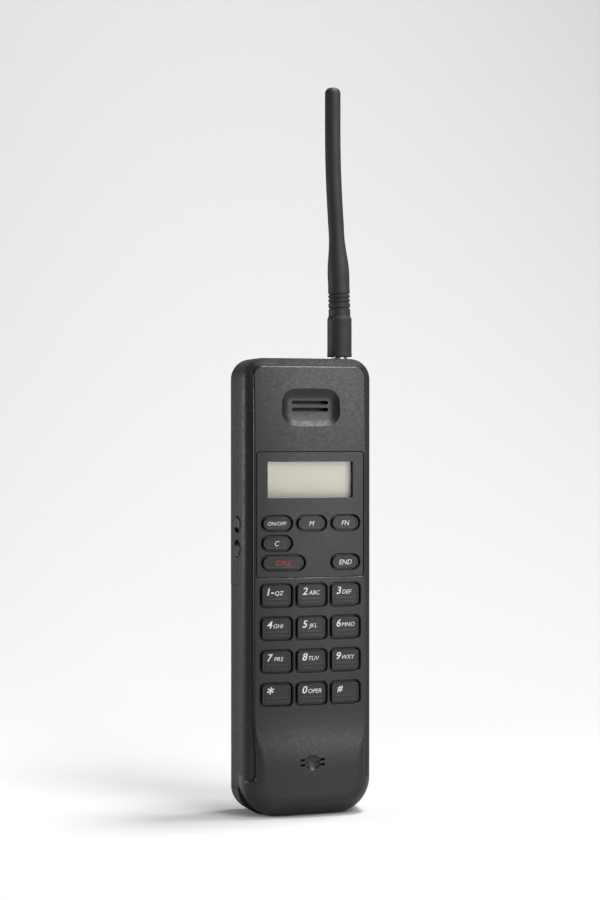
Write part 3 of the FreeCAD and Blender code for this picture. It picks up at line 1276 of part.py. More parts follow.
def antenna_socket():
    top = BODY_HEIGHT - WALL
    bore = STUD_RADIUS + STUD_GAP
    return turned([(bore, top - SOCKET_DEPTH), (SOCKET_RADIUS, top - SOCKET_DEPTH), (SOCKET_RADIUS, top),
                   (COLLAR_RADIUS, top), (COLLAR_RADIUS, BODY_HEIGHT + COLLAR_HEIGHT),
                   (bore, BODY_HEIGHT + COLLAR_HEIGHT)])


def antenna_contact():
    """A spring strip that carries the signal from the main board to the socket."""
    z = BODY_HEIGHT - WALL - SOCKET_DEPTH
    flat = box(ANTENNA_X - 1.5, ANTENNA_X + 1.5, ANTENNA_Y + STUD_RADIUS + 0.3, MAIN_BOARD_FRONT, z - 0.5, z)
    drop = box(ANTENNA_X - 1.5, ANTENNA_X + 1.5, MAIN_BOARD_FRONT - 0.5, MAIN_BOARD_FRONT, z - 6, z)
    return fused(flat, drop)


def antenna_stud():
    bottom = BODY_HEIGHT - WALL - STUD_DEPTH
    top = SLEEVE_BOTTOM + STUD_REACH
    tip = 0.6
    return turned([(0, bottom), (STUD_RADIUS - tip, bottom), (STUD_RADIUS, bottom + tip),
                   (STUD_RADIUS, top), (0, top)])


def antenna_sleeve():
    foot = 2.2
    cone = 1.3
    bore = STUD_RADIUS + STUD_GAP
    seat = SLEEVE_BOTTOM + STUD_REACH + STUD_GAP
    return turned([(bore, SLEEVE_BOTTOM), (SLEEVE_FOOT_RADIUS - 0.2, SLEEVE_BOTTOM),
                   (SLEEVE_FOOT_RADIUS, SLEEVE_BOTTOM + 0.2), (SLEEVE_RADIUS, SLEEVE_BOTTOM + foot),
                   (SLEEVE_RADIUS, SLEEVE_TOP - cone), (WHIP_ROOT_RADIUS, SLEEVE_TOP), (0, SLEEVE_TOP),
                   (0, seat), (bore, seat)])


def whip_station(length):
    """The whip's centre and its lean in degrees at a length above the sleeve."""
    x = 0.0
    z = 0.0
    angle = WHIP_BENDS[0][0]
    left = length
    for start, end, run in WHIP_BENDS:
        used = min(left, run)
        angle = start + (end - start) * used / run
        if start == end:
            x -= used * math.sin(start)
            z += used * math.cos(start)
        else:
            radius = run / (end - start)
            x += radius * (math.cos(angle) - math.cos(start))
            z += radius * (math.sin(angle) - math.sin(start))
        left -= used
        if left <= 0:
            break
    centre = Vector(ANTENNA_X + x, ANTENNA_Y, SLEEVE_TOP + z)
    return centre, math.degrees(angle)


def ring_at(length, radius):
    """A circle square to the whip, with its start always on the same side."""
    centre, lean = whip_station(length)
    ring = Part.Wire(Part.makeCircle(radius))
    ring.rotate(Vector(0, 0, 0), Vector(0, 1, 0), -lean)
    ring.translate(centre)
    return ring


def whip_root():
    """The grooved root: a turned piece, leaned with the whip."""
    points = [(0, SLEEVE_TOP - 1), (WHIP_ROOT_RADIUS, SLEEVE_TOP - 1)]
    half = GROOVE_WIDTH / 2
    for rise in GROOVE_RISES:
        z = SLEEVE_TOP + rise
        points += [(WHIP_ROOT_RADIUS, z - half), (GROOVE_RADIUS, z - half * 0.25),
                   (GROOVE_RADIUS, z + half * 0.25), (WHIP_ROOT_RADIUS, z + half)]
    top = SLEEVE_TOP + WHIP_ROOT_LENGTH
    points += [(WHIP_ROOT_RADIUS, top), (0, top)]
    root = turned(points)
    lean = math.degrees(WHIP_BENDS[0][0])
    root.rotate(Vector(ANTENNA_X, ANTENNA_Y, SLEEVE_TOP), Vector(0, 1, 0), -lean)
    return above(root, SLEEVE_TOP)


def neck_radius(length):
    """The whip's radius at a length: it eases from the root's to the shaft's over the neck."""
    share = min(1.0, max(0.0, (length - NECK_BOTTOM) / (NECK_TOP - NECK_BOTTOM)))
    return WHIP_ROOT_RADIUS + (WHIP_RADIUS - WHIP_ROOT_RADIUS) * share * share * (3 - 2 * share)


def whip_path(bottom, top):
    """The whip's line between two lengths, as the straight and round runs of its bends."""
    edges = []
    start = 0.0
    for first_lean, last_lean, run in WHIP_BENDS:
        low = bottom if start == 0 else max(start, bottom)
        high = min(start + run, top)
        start += run
        if high <= low:
            continue
        places = [whip_station(length)[0] for length in (low, (low + high) / 2, high)]
        if first_lean == last_lean:
            edges.append(Part.LineSegment(places[0], places[2]).toShape())
        else:
            edges.append(Part.Arc(*places).toShape())
    return Part.Wire(edges)


def antenna_whip():
    steps = 7
    rise = (SHAFT_BOTTOM - WHIP_ROOT_LENGTH) / steps
    lengths = [WHIP_ROOT_LENGTH + rise * step for step in range(steps + 1)]
    neck = Part.makeLoft([ring_at(length, neck_radius(length)) for length in lengths], True, False)
    path = whip_path(SHAFT_BOTTOM, WHIP_LENGTH)
    shaft = path.makePipeShell([ring_at(SHAFT_BOTTOM, WHIP_RADIUS)], True, False)
    return fused(whip_root(), neck, shaft).cut(antenna_conductor())


def antenna_conductor():
    """The sprung core of the whip, cut level where it meets the sleeve."""
    foot = -0.5
    path = whip_path(foot, CONDUCTOR_LENGTH)
    core = path.makePipeShell([ring_at(foot, CONDUCTOR_RADIUS)], True, False)
    return above(core, SLEEVE_TOP)


def antenna_cap():
    """A moulded cap with a rounded end."""
    centre, lean = whip_station(WHIP_LENGTH)
    inner = WHIP_RADIUS - CAP_ROUND
    shoulder = CAP_LENGTH - CAP_ROUND
    slant = CAP_ROUND * math.sqrt(0.5)
    foot = Vector(0, 0, 0)
    rim = Vector(WHIP_RADIUS, 0, 0)
    bend = Part.Arc(Vector(WHIP_RADIUS, 0, shoulder), Vector(inner + slant, 0, shoulder + slant),
                    Vector(inner, 0, CAP_LENGTH))
    top = Vector(0, 0, CAP_LENGTH)
    outline = [Part.LineSegment(foot, rim), Part.LineSegment(rim, bend.StartPoint), bend,
               Part.LineSegment(bend.EndPoint, top), Part.LineSegment(top, foot)]
    wire = Part.Wire([curve.toShape() for curve in outline])
    cap = Part.Face(wire).revolve(Vector(0, 0, 0), Vector(0, 0, 1), 360)
    cap.translate(centre)
    return cap


def build_parts():
    """All sub-parts by name."""
    parts = {
        "front_housing": front_housing(),
        "rear_housing": rear_housing(),
        "control_panel": control_panel(),
        "lcd_window": lcd_window(),
        "lcd_frame": lcd_frame(),
        "lcd_glass": lcd_glass(),
        "keypad_mat": keypad_mat(),
        "keypad_board": keypad_board(),
        "earpiece_speaker": earpiece_speaker(),
        "earpiece_gasket": earpiece_gasket(),
        "microphone": microphone(),
        "microphone_boot": microphone_boot(),
        "ringer": ringer(),
        "main_board": main_board(),
        "rf_shield": shield(RF_SHIELD),
        "logic_shield": shield(LOGIC_SHIELD),
        "board_chips": board_chips(),
        "board_connector": board_connector(),
        "side_switch_board": side_switch_board(),
        "side_switches": side_switches(),
        "antenna_socket": antenna_socket(),
        "antenna_contact": antenna_contact(),
        "housing_screws": housing_screws(),
        "housing_inserts": housing_inserts(),
        "board_screws": board_screws(),
        "battery_terminals": battery_terminals(),
        "charge_contacts": charge_contacts(),
        "battery_case": battery_case(),
        "battery_lid": battery_lid(),
        "battery_cells": battery_cells(),
        "battery_straps": battery_straps(),
        "battery_contacts": battery_contacts(),
        "battery_latch": battery_latch(),
        "latch_spring": latch_spring(),
        "antenna_stud": antenna_stud(),
        "antenna_sleeve": antenna_sleeve(),
        "antenna_whip": antenna_whip(),
        "antenna_conductor": antenna_conductor(),
        "antenna_cap": antenna_cap(),
    }
    for name, x, z in number_key_places():
        parts[name] = number_key(x, z)
    for place in function_key_places():
        parts[place[0]] = function_key(place)
    for name, z, height in side_button_places():
        parts[name] = side_button(z, height)
    return parts


os.makedirs("parts", exist_ok=True)
for part_name, part_shape in build_parts().items():
    print(part_name, len(part_shape.Solids), round(part_shape.Volume, 1), part_shape.isValid())
    part_shape.exportStep("parts/" + part_name + ".step")
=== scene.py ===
# %% [markdown]
# # A hand-held cellular phone, dressed for the camera
#
# The phone arrives as a fixed frame of solids: shells, keys, display, battery pack and antenna. Everything
# here is about looks. A plain moulded phone lives or dies by its surface: a fine grain from the mould, soft
# rounded highlights, crisp white legends and a pale display.

import math

import bpy
import numpy as np
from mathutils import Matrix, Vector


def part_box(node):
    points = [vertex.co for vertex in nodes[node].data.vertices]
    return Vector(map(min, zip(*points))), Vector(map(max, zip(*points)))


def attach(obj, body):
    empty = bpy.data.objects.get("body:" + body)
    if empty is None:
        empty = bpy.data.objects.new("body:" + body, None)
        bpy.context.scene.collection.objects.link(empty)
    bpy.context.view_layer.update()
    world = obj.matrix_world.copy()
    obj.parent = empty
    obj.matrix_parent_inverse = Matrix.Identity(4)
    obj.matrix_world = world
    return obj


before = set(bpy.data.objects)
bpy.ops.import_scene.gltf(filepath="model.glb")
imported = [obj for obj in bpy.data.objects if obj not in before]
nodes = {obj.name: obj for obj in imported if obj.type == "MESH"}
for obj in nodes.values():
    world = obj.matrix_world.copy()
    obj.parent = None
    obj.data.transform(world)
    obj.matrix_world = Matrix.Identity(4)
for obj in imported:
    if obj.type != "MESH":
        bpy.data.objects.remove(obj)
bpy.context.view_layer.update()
MM = 0.001
print("nodes in the frame:", len(nodes))

# %% [markdown]
# ## The camera
#
# The picture was taken from a little to the left and almost level with the display, from under a metre
# away. A short lens close up would splay the body's sides, and a long one from far away would make them
# parallel. Lens and distance here come from how much the body narrows upwards in the picture.

# %% Camera
CAMERA_YAW = math.radians(18.0)
CAMERA_PITCH = math.radians(0.41)
CAMERA_DISTANCE = 844.88 * MM
CAMERA_TARGET = np.array([-0.69, 0.0, 150.21]) * MM
LENS_MM = 81.354
SENSOR_MM = 36.0
CLIP_START = 10 * MM

forward = np.array([math.sin(CAMERA_YAW) * math.cos(CAMERA_PITCH),
                    math.cos(CAMERA_YAW) * math.cos(CAMERA_PITCH),
                    -math.sin(CAMERA_PITCH)])
camera_data = bpy.data.cameras.new("camera")
camera_data.lens = LENS_MM
camera_data.sensor_width = SENSOR_MM
camera_data.clip_start = CLIP_START
camera = bpy.data.objects.new("camera", camera_data)
camera.location = CAMERA_TARGET - forward * CAMERA_DISTANCE
camera.rotation_euler = (math.pi / 2 - CAMERA_PITCH, 0.0, -CAMERA_YAW)
bpy.context.scene.collection.objects.link(camera)
bpy.context.scene.camera = camera
print("camera at", [round(v, 3) for v in camera.location])

# %% [markdown]
# ## A small kit for materials
#
# A finish on a real object is a base colour plus small changes in colour, sheen and height. Image textures
# could hold those, but they need a map for each piece. Each finish here is a node graph that ends at one
# Principled shader, and its texture is noise on Object coordinates, so it sticks to the piece and keeps its
# real size. The helpers below wire one idea each: a noise, a remapped range, a mix of two colours, and a
# bump.

# %% Screen levels to shader colours
def srgb(*levels):
    """Turns screen levels from 0 to 255 into the linear colour that a shader wants."""
    share = np.array(levels, dtype=float) / 255.0
    linear = np.where(share <= 0.04045, share / 12.92, ((share + 0.055) / 1.055) ** 2.4)
    return (float(linear[0]), float(linear[1]), float(linear[2]), 1.0)


def grey(share):
    """A grey that reflects this share of the light."""
    return (share, share, share, 1.0)


print("screen grey 90 is linear", round(srgb(90, 90, 90)[0], 4))


# %% Node helpers
class Finish:
    """A material under construction: its node tree, its shader and its Object coordinates."""

    def __init__(self, name, color, roughness, metallic=0.0, specular=0.5):
        self.material = bpy.data.materials.new(name)
        self.material.use_nodes = True
        self.tree = self.material.node_tree
        self.shader = self.tree.nodes["Principled BSDF"]
        self.shader.inputs["Base Color"].default_value = color
        self.shader.inputs["Roughness"].default_value = roughness
        self.shader.inputs["Metallic"].default_value = metallic
        self.shader.inputs["Specular IOR Level"].default_value = specular
        self.color = color
        self.normal = None
        self.place = self.tree.nodes.new("ShaderNodeTexCoord").outputs["Object"]

    def link(self, source, target):
        self.tree.links.new(source, target)

    def stretched(self, scale):
        """Object coordinates with each axis scaled: a small scale draws a pattern out along its axis."""
        node = self.tree.nodes.new("ShaderNodeMapping")
        node.inputs["Scale"].default_value = scale
        self.link(self.place, node.inputs["Vector"])
        return node.outputs["Vector"]

    def noise(self, size_mm, detail=2.0, roughness=0.5, vector=None):
        """Cloudy noise whose blobs are about size_mm across."""
        node = self.tree.nodes.new("ShaderNodeTexNoise")
        node.inputs["Scale"].default_value = 1.0 / (size_mm * MM)
        node.inputs["Detail"].default_value = detail
        node.inputs["Roughness"].default_value = roughness
        self.link(vector or self.place, node.inputs["Vector"])
        return node.outputs["Fac"]

    def bands(self, size_mm, direction):
        """Parallel lines across one axis, one every size_mm."""
        waves_per_unit = 0.314
        node = self.tree.nodes.new("ShaderNodeTexWave")
        node.wave_type = "BANDS"
        node.bands_direction = direction
        node.inputs["Scale"].default_value = waves_per_unit / (size_mm * MM)
        self.link(self.place, node.inputs["Vector"])
        return node.outputs["Fac"]

    def math(self, operation, *values):
        """One Math node, fed by numbers or by other nodes."""
        node = self.tree.nodes.new("ShaderNodeMath")
        node.operation = operation
        for socket, value in zip(node.inputs, values):
            if isinstance(value, (int, float)):
                socket.default_value = value
            else:
                self.link(value, socket)
        return node.outputs[0]

    def ranged(self, value, low, high, start=0.3, end=0.7):
        """Carries start..end of a value to low..high, and holds it there."""
        node = self.tree.nodes.new("ShaderNodeMapRange")
        node.clamp = True
        for name, number in (("From Min", start), ("From Max", end), ("To Min", low), ("To Max", high)):
            node.inputs[name].default_value = number
        self.link(value, node.inputs["Value"])
        return node.outputs["Result"]

    def along(self, axis):
        """The place along one axis, in metres."""
        node = self.tree.nodes.new("ShaderNodeSeparateXYZ")
        self.link(self.place, node.inputs["Vector"])
        return node.outputs[axis]

    def tint(self, factor, other, amount=1.0):
        """Mixes the colour so far towards another colour by a factor."""
        node = self.tree.nodes.new("ShaderNodeMix")
        node.data_type = "RGBA"
        if isinstance(self.color, tuple):
            node.inputs["A"].default_value = self.color
        else:
            self.link(self.color, node.inputs["A"])
        node.inputs["B"].default_value = other
        self.link(self.math("MULTIPLY", factor, amount), node.inputs["Factor"])
        self.color = node.outputs["Result"]
        self.link(self.color, self.shader.inputs["Base Color"])

    def rough(self, value, low, high):
        """Lets a noise move the roughness between two limits."""
        self.link(self.ranged(value, low, high), self.shader.inputs["Roughness"])

    def bump(self, height, depth_mm):
        """Raises the surface by a height of 0..1 times depth_mm."""
        node = self.tree.nodes.new("ShaderNodeBump")
        node.inputs["Strength"].default_value = 1.0
        node.inputs["Distance"].default_value = depth_mm * MM
        self.link(height, node.inputs["Height"])
        if self.normal is not None:
            self.link(self.normal, node.inputs["Normal"])
        self.normal = node.outputs["Normal"]
        self.link(self.normal, self.shader.inputs["Normal"])

    def edges(self, radius_mm):
        """Softens corners, as a mould does, by blending normals over a small radius."""
        node = self.tree.nodes.new("ShaderNodeBevel")
        node.samples = 4
        node.inputs["Radius"].default_value = radius_mm * MM
        self.normal = node.outputs["Normal"]
        self.link(self.normal, self.shader.inputs["Normal"])


def dress(material, *names):
    """Gives nodes one material in place of what they came with."""
    for name in names:
        mesh = nodes[name].data
        mesh.materials.clear()
        mesh.materials.append(material)


print("helpers of a finish:", [name for name in vars(Finish) if not name.startswith("_")])

# %% [markdown]
# ## Where the face plateau ends
#
# The front shell is one moulding with two textures: a shinier raised face, and a duller ledge round it. Two
# materials would need the mesh split along that line. A value worked out from the place does the same in
# one material: it is 1 on the ledge and 0 on the plateau. A second value rises over the last millimetres
# below the top, where the crest would otherwise catch the lamp above it.

# %% Ledge and crest of the front shell
shell_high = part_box("front_housing")[1]
FACE_INSET = 3.4 * MM
FACE_HALF = float(shell_high[0]) - FACE_INSET
FACE_TOP = float(shell_high[2]) - FACE_INSET
FACE_BLEND = 0.2 * MM
RUN_OUT = 17.3 * MM
RUN_OUT_BLEND = 1.0 * MM
CREST_LOW = float(shell_high[2]) - 2.6 * MM
CREST_HIGH = float(shell_high[2]) - 1.4 * MM


def off_plateau(finish):
    """1 on the ledge round the face plateau, and 0 on the plateau and on the chin below its run-out."""
    across = finish.math("SUBTRACT", finish.math("ABSOLUTE", finish.along("X")), FACE_HALF)
    beyond = finish.math("MAXIMUM", across, finish.math("SUBTRACT", finish.along("Z"), FACE_TOP))
    ledge = finish.ranged(beyond, 0.0, 1.0, -FACE_BLEND, FACE_BLEND)
    above_chin = finish.ranged(finish.along("Z"), 0.0, 1.0, RUN_OUT - RUN_OUT_BLEND, RUN_OUT + RUN_OUT_BLEND)
    return finish.math("MULTIPLY", ledge, above_chin)


print("plateau half width and top, mm:", round(FACE_HALF / MM, 2), round(FACE_TOP / MM, 2))

# %% [markdown]
# ## Moulded plastic
#
# The shells are charcoal ABS from a spark-eroded mould. Such a tool leaves tiny rounded pits, so the
# plastic scatters a broad soft highlight. Modelled pits would cost millions of faces, so two scales of
# noise press them in as bump. Both also tint the colour, the coarser one moves the sheen, and slow clouds
# darken it unevenly. A colour level is a screen grey from 0 to 255, and the grain lightens it a little and
# the mottle darkens it.

# %% Charcoal plastic
MOULD_EDGE_MM = 0.12
MOTTLE_TIMES_GRAIN = 4
CLOUD_MM = 9.0
LIGHTER_LEVELS = 14
DARKER_LEVELS = 12
SHEEN_SPREAD = 0.08


def charcoal(name, level, roughness, grain_mm, grain_depth, specular=0.5, blue=0, ledge=0.0):
    finish = Finish(name, srgb(level, level, level + blue), roughness, specular=specular)
    finish.edges(MOULD_EDGE_MM)
    grain = finish.noise(grain_mm, detail=3.0, roughness=0.6)
    mottle = finish.noise(grain_mm * MOTTLE_TIMES_GRAIN, detail=2.0, roughness=0.6)
    clouds = finish.noise(CLOUD_MM, detail=3.0)
    light = level + LIGHTER_LEVELS
    dark = level - DARKER_LEVELS
    finish.tint(finish.ranged(grain, 0.0, 1.0, 0.35, 0.65), srgb(light, light, light + blue), 0.5)
    finish.tint(finish.ranged(mottle, 0.0, 1.0), srgb(dark, dark, dark + blue), 0.6)
    finish.tint(finish.ranged(clouds, 0.0, 1.0), srgb(dark, dark, dark + blue), 0.25)
    sheen = finish.ranged(mottle, roughness - SHEEN_SPREAD, roughness + SHEEN_SPREAD)
    if ledge:
        sheen = finish.math("ADD", sheen, finish.math("MULTIPLY", off_plateau(finish), ledge))
        crest = finish.ranged(finish.along("Z"), 0.0, ledge, CREST_LOW, CREST_HIGH)
        sheen = finish.math("ADD", sheen, crest)
    finish.link(sheen, finish.shader.inputs["Roughness"])
    finish.bump(grain, grain_depth)
    finish.bump(mottle, grain_depth * MOTTLE_TIMES_GRAIN)
    return finish.material


SHELL_LEVEL = 30
SHELL_ROUGHNESS = 0.36
LEDGE_EXTRA = 0.2
shell_plastic = charcoal("charcoal_shell", SHELL_LEVEL, SHELL_ROUGHNESS, 0.32, 0.010, ledge=LEDGE_EXTRA)
rear_plastic = charcoal("charcoal_rear", SHELL_LEVEL, SHELL_ROUGHNESS + LEDGE_EXTRA, 0.32, 0.010,
                        specular=0.4)
panel_plastic = charcoal("charcoal_panel", SHELL_LEVEL + 2, SHELL_ROUGHNESS, 0.26, 0.008, blue=3)
key_plastic = charcoal("charcoal_key", SHELL_LEVEL - 4, SHELL_ROUGHNESS - 0.02, 0.22, 0.006)
button_rubber = charcoal("charcoal_button", SHELL_LEVEL, 0.45, 0.3, 0.010)
black_plastic = charcoal("black_inner", 22, 0.5, 0.3, 0.010)

dress(shell_plastic, "front_housing")
dress(rear_plastic, "rear_housing", "battery_case", "battery_latch")
dress(panel_plastic, "control_panel")
dress(button_rubber, "volume_up_button", "volume_down_button")
dress(black_plastic, "lcd_frame", "battery_lid", "ringer", "board_connector", "side_switches", "microphone")
number_names = ["1", "2", "3", "4", "5", "6", "7", "8", "9", "star", "0", "hash"]
function_names = ["power", "memory", "function", "clear", "call", "end"]
dress(key_plastic, *["key_" + name for name in number_names + function_names])
print("plastics on", len(number_names) + len(function_names), "keys and the shells")

# %% [markdown]
# ## Antenna rubber
#
# The whip is dip-moulded rubber: smoother than the shell, without its pits, and dull. The same charcoal
# would show a grain that rubber doesn't have, so it gets a finish of its own, with slow clouds in colour
# and sheen and only the faintest bump.

# %% Antenna rubber
RUBBER_ROUGHNESS = 0.6


def antenna_rubber():
    finish = Finish("antenna_rubber", srgb(50, 50, 51), RUBBER_ROUGHNESS, specular=0.35)
    finish.edges(0.15)
    clouds = finish.noise(6.0, detail=3.0)
    finish.tint(finish.ranged(clouds, 0.0, 1.0), srgb(40, 40, 41), 0.5)
    finish.rough(clouds, RUBBER_ROUGHNESS - 0.06, RUBBER_ROUGHNESS + 0.06)
    finish.bump(finish.noise(0.5, detail=2.0), 0.01)
    return finish.material


rubber_nodes = ["antenna_sleeve", "antenna_whip", "antenna_cap"]
dress(antenna_rubber(), *rubber_nodes)
print("rubber on", rubber_nodes)

# %% [markdown]
# ## Display
#
# The display is a reflective liquid crystal cell: a pale warm grey with the faintest green and a fine
# fibrous reflector behind it, under a clear window. Real refraction is slow and noisy through so thin a
# sheet. The window is a mirror instead, and is only as opaque as a clear sheet reflects, so the display
# shows through it.

# %% Display glass and window
WINDOW_IOR = 1.45


def display_glass():
    finish = Finish("display_glass", srgb(192, 187, 164), 0.35)
    fibres = finish.noise(0.12, detail=2.0)
    finish.tint(finish.ranged(fibres, 0.0, 1.0), srgb(184, 179, 156), 0.4)
    finish.bump(fibres, 0.003)
    return finish.material


def clear_window():
    """A mirror that is only as opaque as a clear sheet reflects: a few percent, and more at a slant."""
    finish = Finish("clear_window", srgb(250, 250, 248), 0.05, metallic=1.0)
    fresnel = finish.tree.nodes.new("ShaderNodeFresnel")
    fresnel.inputs["IOR"].default_value = WINDOW_IOR
    finish.link(fresnel.outputs["Fac"], finish.shader.inputs["Alpha"])
    finish.rough(finish.noise(3.0), 0.03, 0.07)
    return finish.material


dress(display_glass(), "lcd_glass")
dress(clear_window(), "lcd_window")
print("a clear sheet reflects", round(((WINDOW_IOR - 1) / (WINDOW_IOR + 1)) ** 2, 3), "straight on")

# %% [markdown]
# ## Metal, boards and the rest of the inside
#
# Most of these hide inside the shells, but a phone that comes apart shows them, so each has its own finish.
# One function serves all the metals, because stamped, turned and drawn metal all show fine lines that run
# along the work. Noise that is stretched along X gives such lines without any image.

# %% Inner finishes
LINE_STRETCH = (0.08, 1.0, 1.0)
LINE_SHADE = 0.8


def metal(name, levels, roughness):
    finish = Finish(name, srgb(*levels), roughness, metallic=1.0)
    finish.edges(0.08)
    lines = finish.noise(0.3, detail=3.0, vector=finish.stretched(LINE_STRETCH))
    finish.tint(finish.ranged(lines, 0.0, 1.0), srgb(*[int(v * LINE_SHADE) for v in levels]), 0.5)
    finish.rough(lines, roughness - 0.06, roughness + 0.08)
    finish.bump(lines, 0.004)
    return finish.material


def circuit_board():
    """Green solder mask with raised lines of track under it."""
    finish = Finish("circuit_board", srgb(28, 92, 52), 0.35)
    tracks = finish.bands(1.3, "X")
    finish.tint(finish.ranged(tracks, 0.0, 1.0, 0.55, 0.6), srgb(44, 122, 70), 0.8)
    finish.bump(finish.ranged(tracks, 0.0, 1.0, 0.5, 0.6), 0.03)
    return finish.material


def soft(name, level, roughness=0.75):
    """Rubber, foam, paper cone or epoxy: a dull grey with fine pores."""
    finish = Finish(name, srgb(level, level, level), roughness)
    pores = finish.noise(0.25, detail=3.0)
    pore_level = level * 0.7
    finish.tint(finish.ranged(pores, 0.0, 1.0), srgb(pore_level, pore_level, pore_level), 0.6)
    finish.bump(pores, 0.02)
    return finish.material


def cell_sleeve():
    """Shrunk green sleeve with pale rings."""
    finish = Finish("cell_sleeve", srgb(34, 84, 74), 0.3)
    rings = finish.bands(7.4, "X")
    finish.tint(finish.ranged(rings, 0.0, 1.0, 0.92, 0.96), srgb(196, 196, 190), 1.0)
    finish.bump(finish.noise(1.5), 0.02)
    return finish.material


dress(metal("tinned_steel", (196, 196, 192), 0.34), "rf_shield", "logic_shield", "battery_straps")
dress(metal("nickel_brass", (205, 200, 188), 0.4), "antenna_socket", "antenna_stud", "housing_inserts")
dress(metal("gold_contact", (222, 184, 98), 0.24), "antenna_contact", "battery_terminals", "charge_contacts",
      "battery_contacts")
dress(metal("spring_steel", (168, 168, 166), 0.3), "latch_spring", "antenna_conductor")
dress(metal("dark_zinc", (88, 88, 92), 0.36), "housing_screws", "board_screws")
dress(circuit_board(), "main_board", "keypad_board", "side_switch_board")
dress(soft("keypad_rubber", 118), "keypad_mat", "microphone_boot")
dress(soft("gasket_foam", 46, 0.9), "earpiece_gasket")
dress(soft("speaker_cone", 58, 0.6), "earpiece_speaker")
dress(soft("chip_epoxy", 34, 0.5), "board_chips")
dress(cell_sleeve(), "battery_cells")
bare = [name for name, node in nodes.items() if not node.data.materials or node.data.materials[0] is None]
print("nodes still without a finish:", bare)

# %% [markdown]
# ## Printing ink
#
# The legends are pad-printed in white, and one is red. Ink could be painted into the key's material, but
# then it would need a picture of each letter. Printed letters are meshes here, so ink is one more plain
# finish, with a slight unevenness where the pad lifted.

# %% Ink
INK_THICKNESS = 0.06 * MM


def ink(name, color):
    finish = Finish(name, color, 0.45)
    thin = tuple(0.8 * share for share in color[:3]) + (1.0,)
    finish.tint(finish.ranged(finish.noise(0.5), 0.0, 1.0), thin, 0.4)
    return finish.material


white_ink = ink("white_ink", srgb(226, 226, 224))
red_ink = ink("red_ink", srgb(176, 22, 30))
print("inks:", white_ink.name, red_ink.name)

# %% [markdown]
# ## From a word to a flat mesh
#
# Each key carries a large slanted numeral and small letters beside it. Blender's own font gives their
# outlines: a text curve, leant over by its shear, becomes a mesh of points and faces, and the curve is
# thrown away. The numerals are a little bolder. The small letters aren't, because an offset makes thin
# strokes cross.

# %% Outline of a word
SLANT = 0.22
NUMERAL_WEIGHT = 0.012
CAP_HEIGHT = 0.7


def outline_mesh(text, height, weight=0.0):
    """A word as flat points (x right, y up) and faces, its letters height tall, its left end at x = 0."""
    curve = bpy.data.curves.new("word", "FONT")
    curve.body = text
    curve.shear = SLANT
    curve.offset = weight
    curve.resolution_u = 4
    holder = bpy.data.objects.new("word", curve)
    bpy.context.scene.collection.objects.link(holder)
    bpy.context.view_layer.update()
    mesh = bpy.data.meshes.new_from_object(holder.evaluated_get(bpy.context.evaluated_depsgraph_get()))
    points = np.empty(len(mesh.vertices) * 3)
    mesh.vertices.foreach_get("co", points)
    points = points.reshape(-1, 3)[:, :2]
    faces = [tuple(polygon.vertices) for polygon in mesh.polygons]
    bpy.data.objects.remove(holder)
    bpy.data.curves.remove(curve)
    bpy.data.meshes.remove(mesh)
    left = points[:, 0].min()
    return (points - [left, 0.0]) * height / CAP_HEIGHT, faces


def width_of(points):
    return points[:, 0].max() - points[:, 0].min()


sample_width = width_of(outline_mesh("ABC", 1.7)[0])
print("three letters, 1.7 mm tall, are", round(sample_width, 2), "mm wide")

# %% [markdown]
# ## From a flat mesh to a plate on a crowned key
#
# The keys' faces are parts of one large cylinder, the crown of the phone's face. A flat letter would sink
# into it or hover. So each point's depth is worked out from how far it lies from the middle, and the letter
# becomes a thin closed plate that follows the crown and lets the ink stand a little proud.

# %% Plates that follow the crown
CROWN_RADIUS = 195.0 * MM
KEY_CREST = -13.19 * MM


def crown_y(x):
    """Depth at x of a cylinder of radius CROWN_RADIUS whose crest, the keys' printed face, is at KEY_CREST."""
    return KEY_CREST + CROWN_RADIUS - np.sqrt(CROWN_RADIUS ** 2 - x ** 2)


def plate_from_outline(points, faces):
    """Closes a flat outline into a plate, with the crown halfway through its thickness."""
    middle = crown_y(points[:, 0])
    top = np.column_stack([points[:, 0], middle - INK_THICKNESS / 2, points[:, 1]])
    low = np.column_stack([points[:, 0], middle + INK_THICKNESS / 2, points[:, 1]])
    count = len(points)
    edges = dict.fromkeys(edge for face in faces for edge in zip(face, face[1:] + face[:1]))
    sides = [(a, a + count, b + count, b) for a, b in edges if (b, a) not in edges]
    under = [tuple(i + count for i in reversed(face)) for face in faces]
    return np.vstack([top, low]), faces + under + sides


print("the crown drops", round((crown_y(20 * MM) - KEY_CREST) / MM, 2), "mm at 20 mm from the middle")

# %% [markdown]
# ## The legends
#
# A real pad printer lays a numeral and its letters in one stroke, so each key gets one piece that holds
# both words. It rides on the key's body, so it sinks with the key when that is pressed.

# %% Legends on the keys
WORD_GAP = 0.4
NUMERAL_HEIGHT = 3.0
LETTER_HEIGHT = 1.7
STAR_HEIGHT = 4.4
HASH_HEIGHT = 2.6
NUMBER_LEFT = -3.9
NUMBER_BASE = 0.25
NUMBER_WORDS = {"1": "QZ", "2": "ABC", "3": "DEF", "4": "GHI", "5": "JKL", "6": "MNO", "7": "PRS",
                "8": "TUV", "9": "WXY", "0": "OPER"}
FUNCTION_WORDS = {"power": ("ON/OFF", 1.5), "memory": ("M", 2.0), "function": ("FN", 2.0),
                  "clear": ("C", 2.0), "call": ("CALL", 2.0), "end": ("END", 2.0)}


def add_piece(name, points, faces, material, body):
    mesh = bpy.data.meshes.new(name)
    mesh.from_pydata(points.tolist(), [], faces)
    mesh.validate()
    mesh.update()
    mesh.materials.append(material)
    piece = bpy.data.objects.new(name, mesh)
    bpy.context.scene.collection.objects.link(piece)
    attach(piece, body)
    return piece


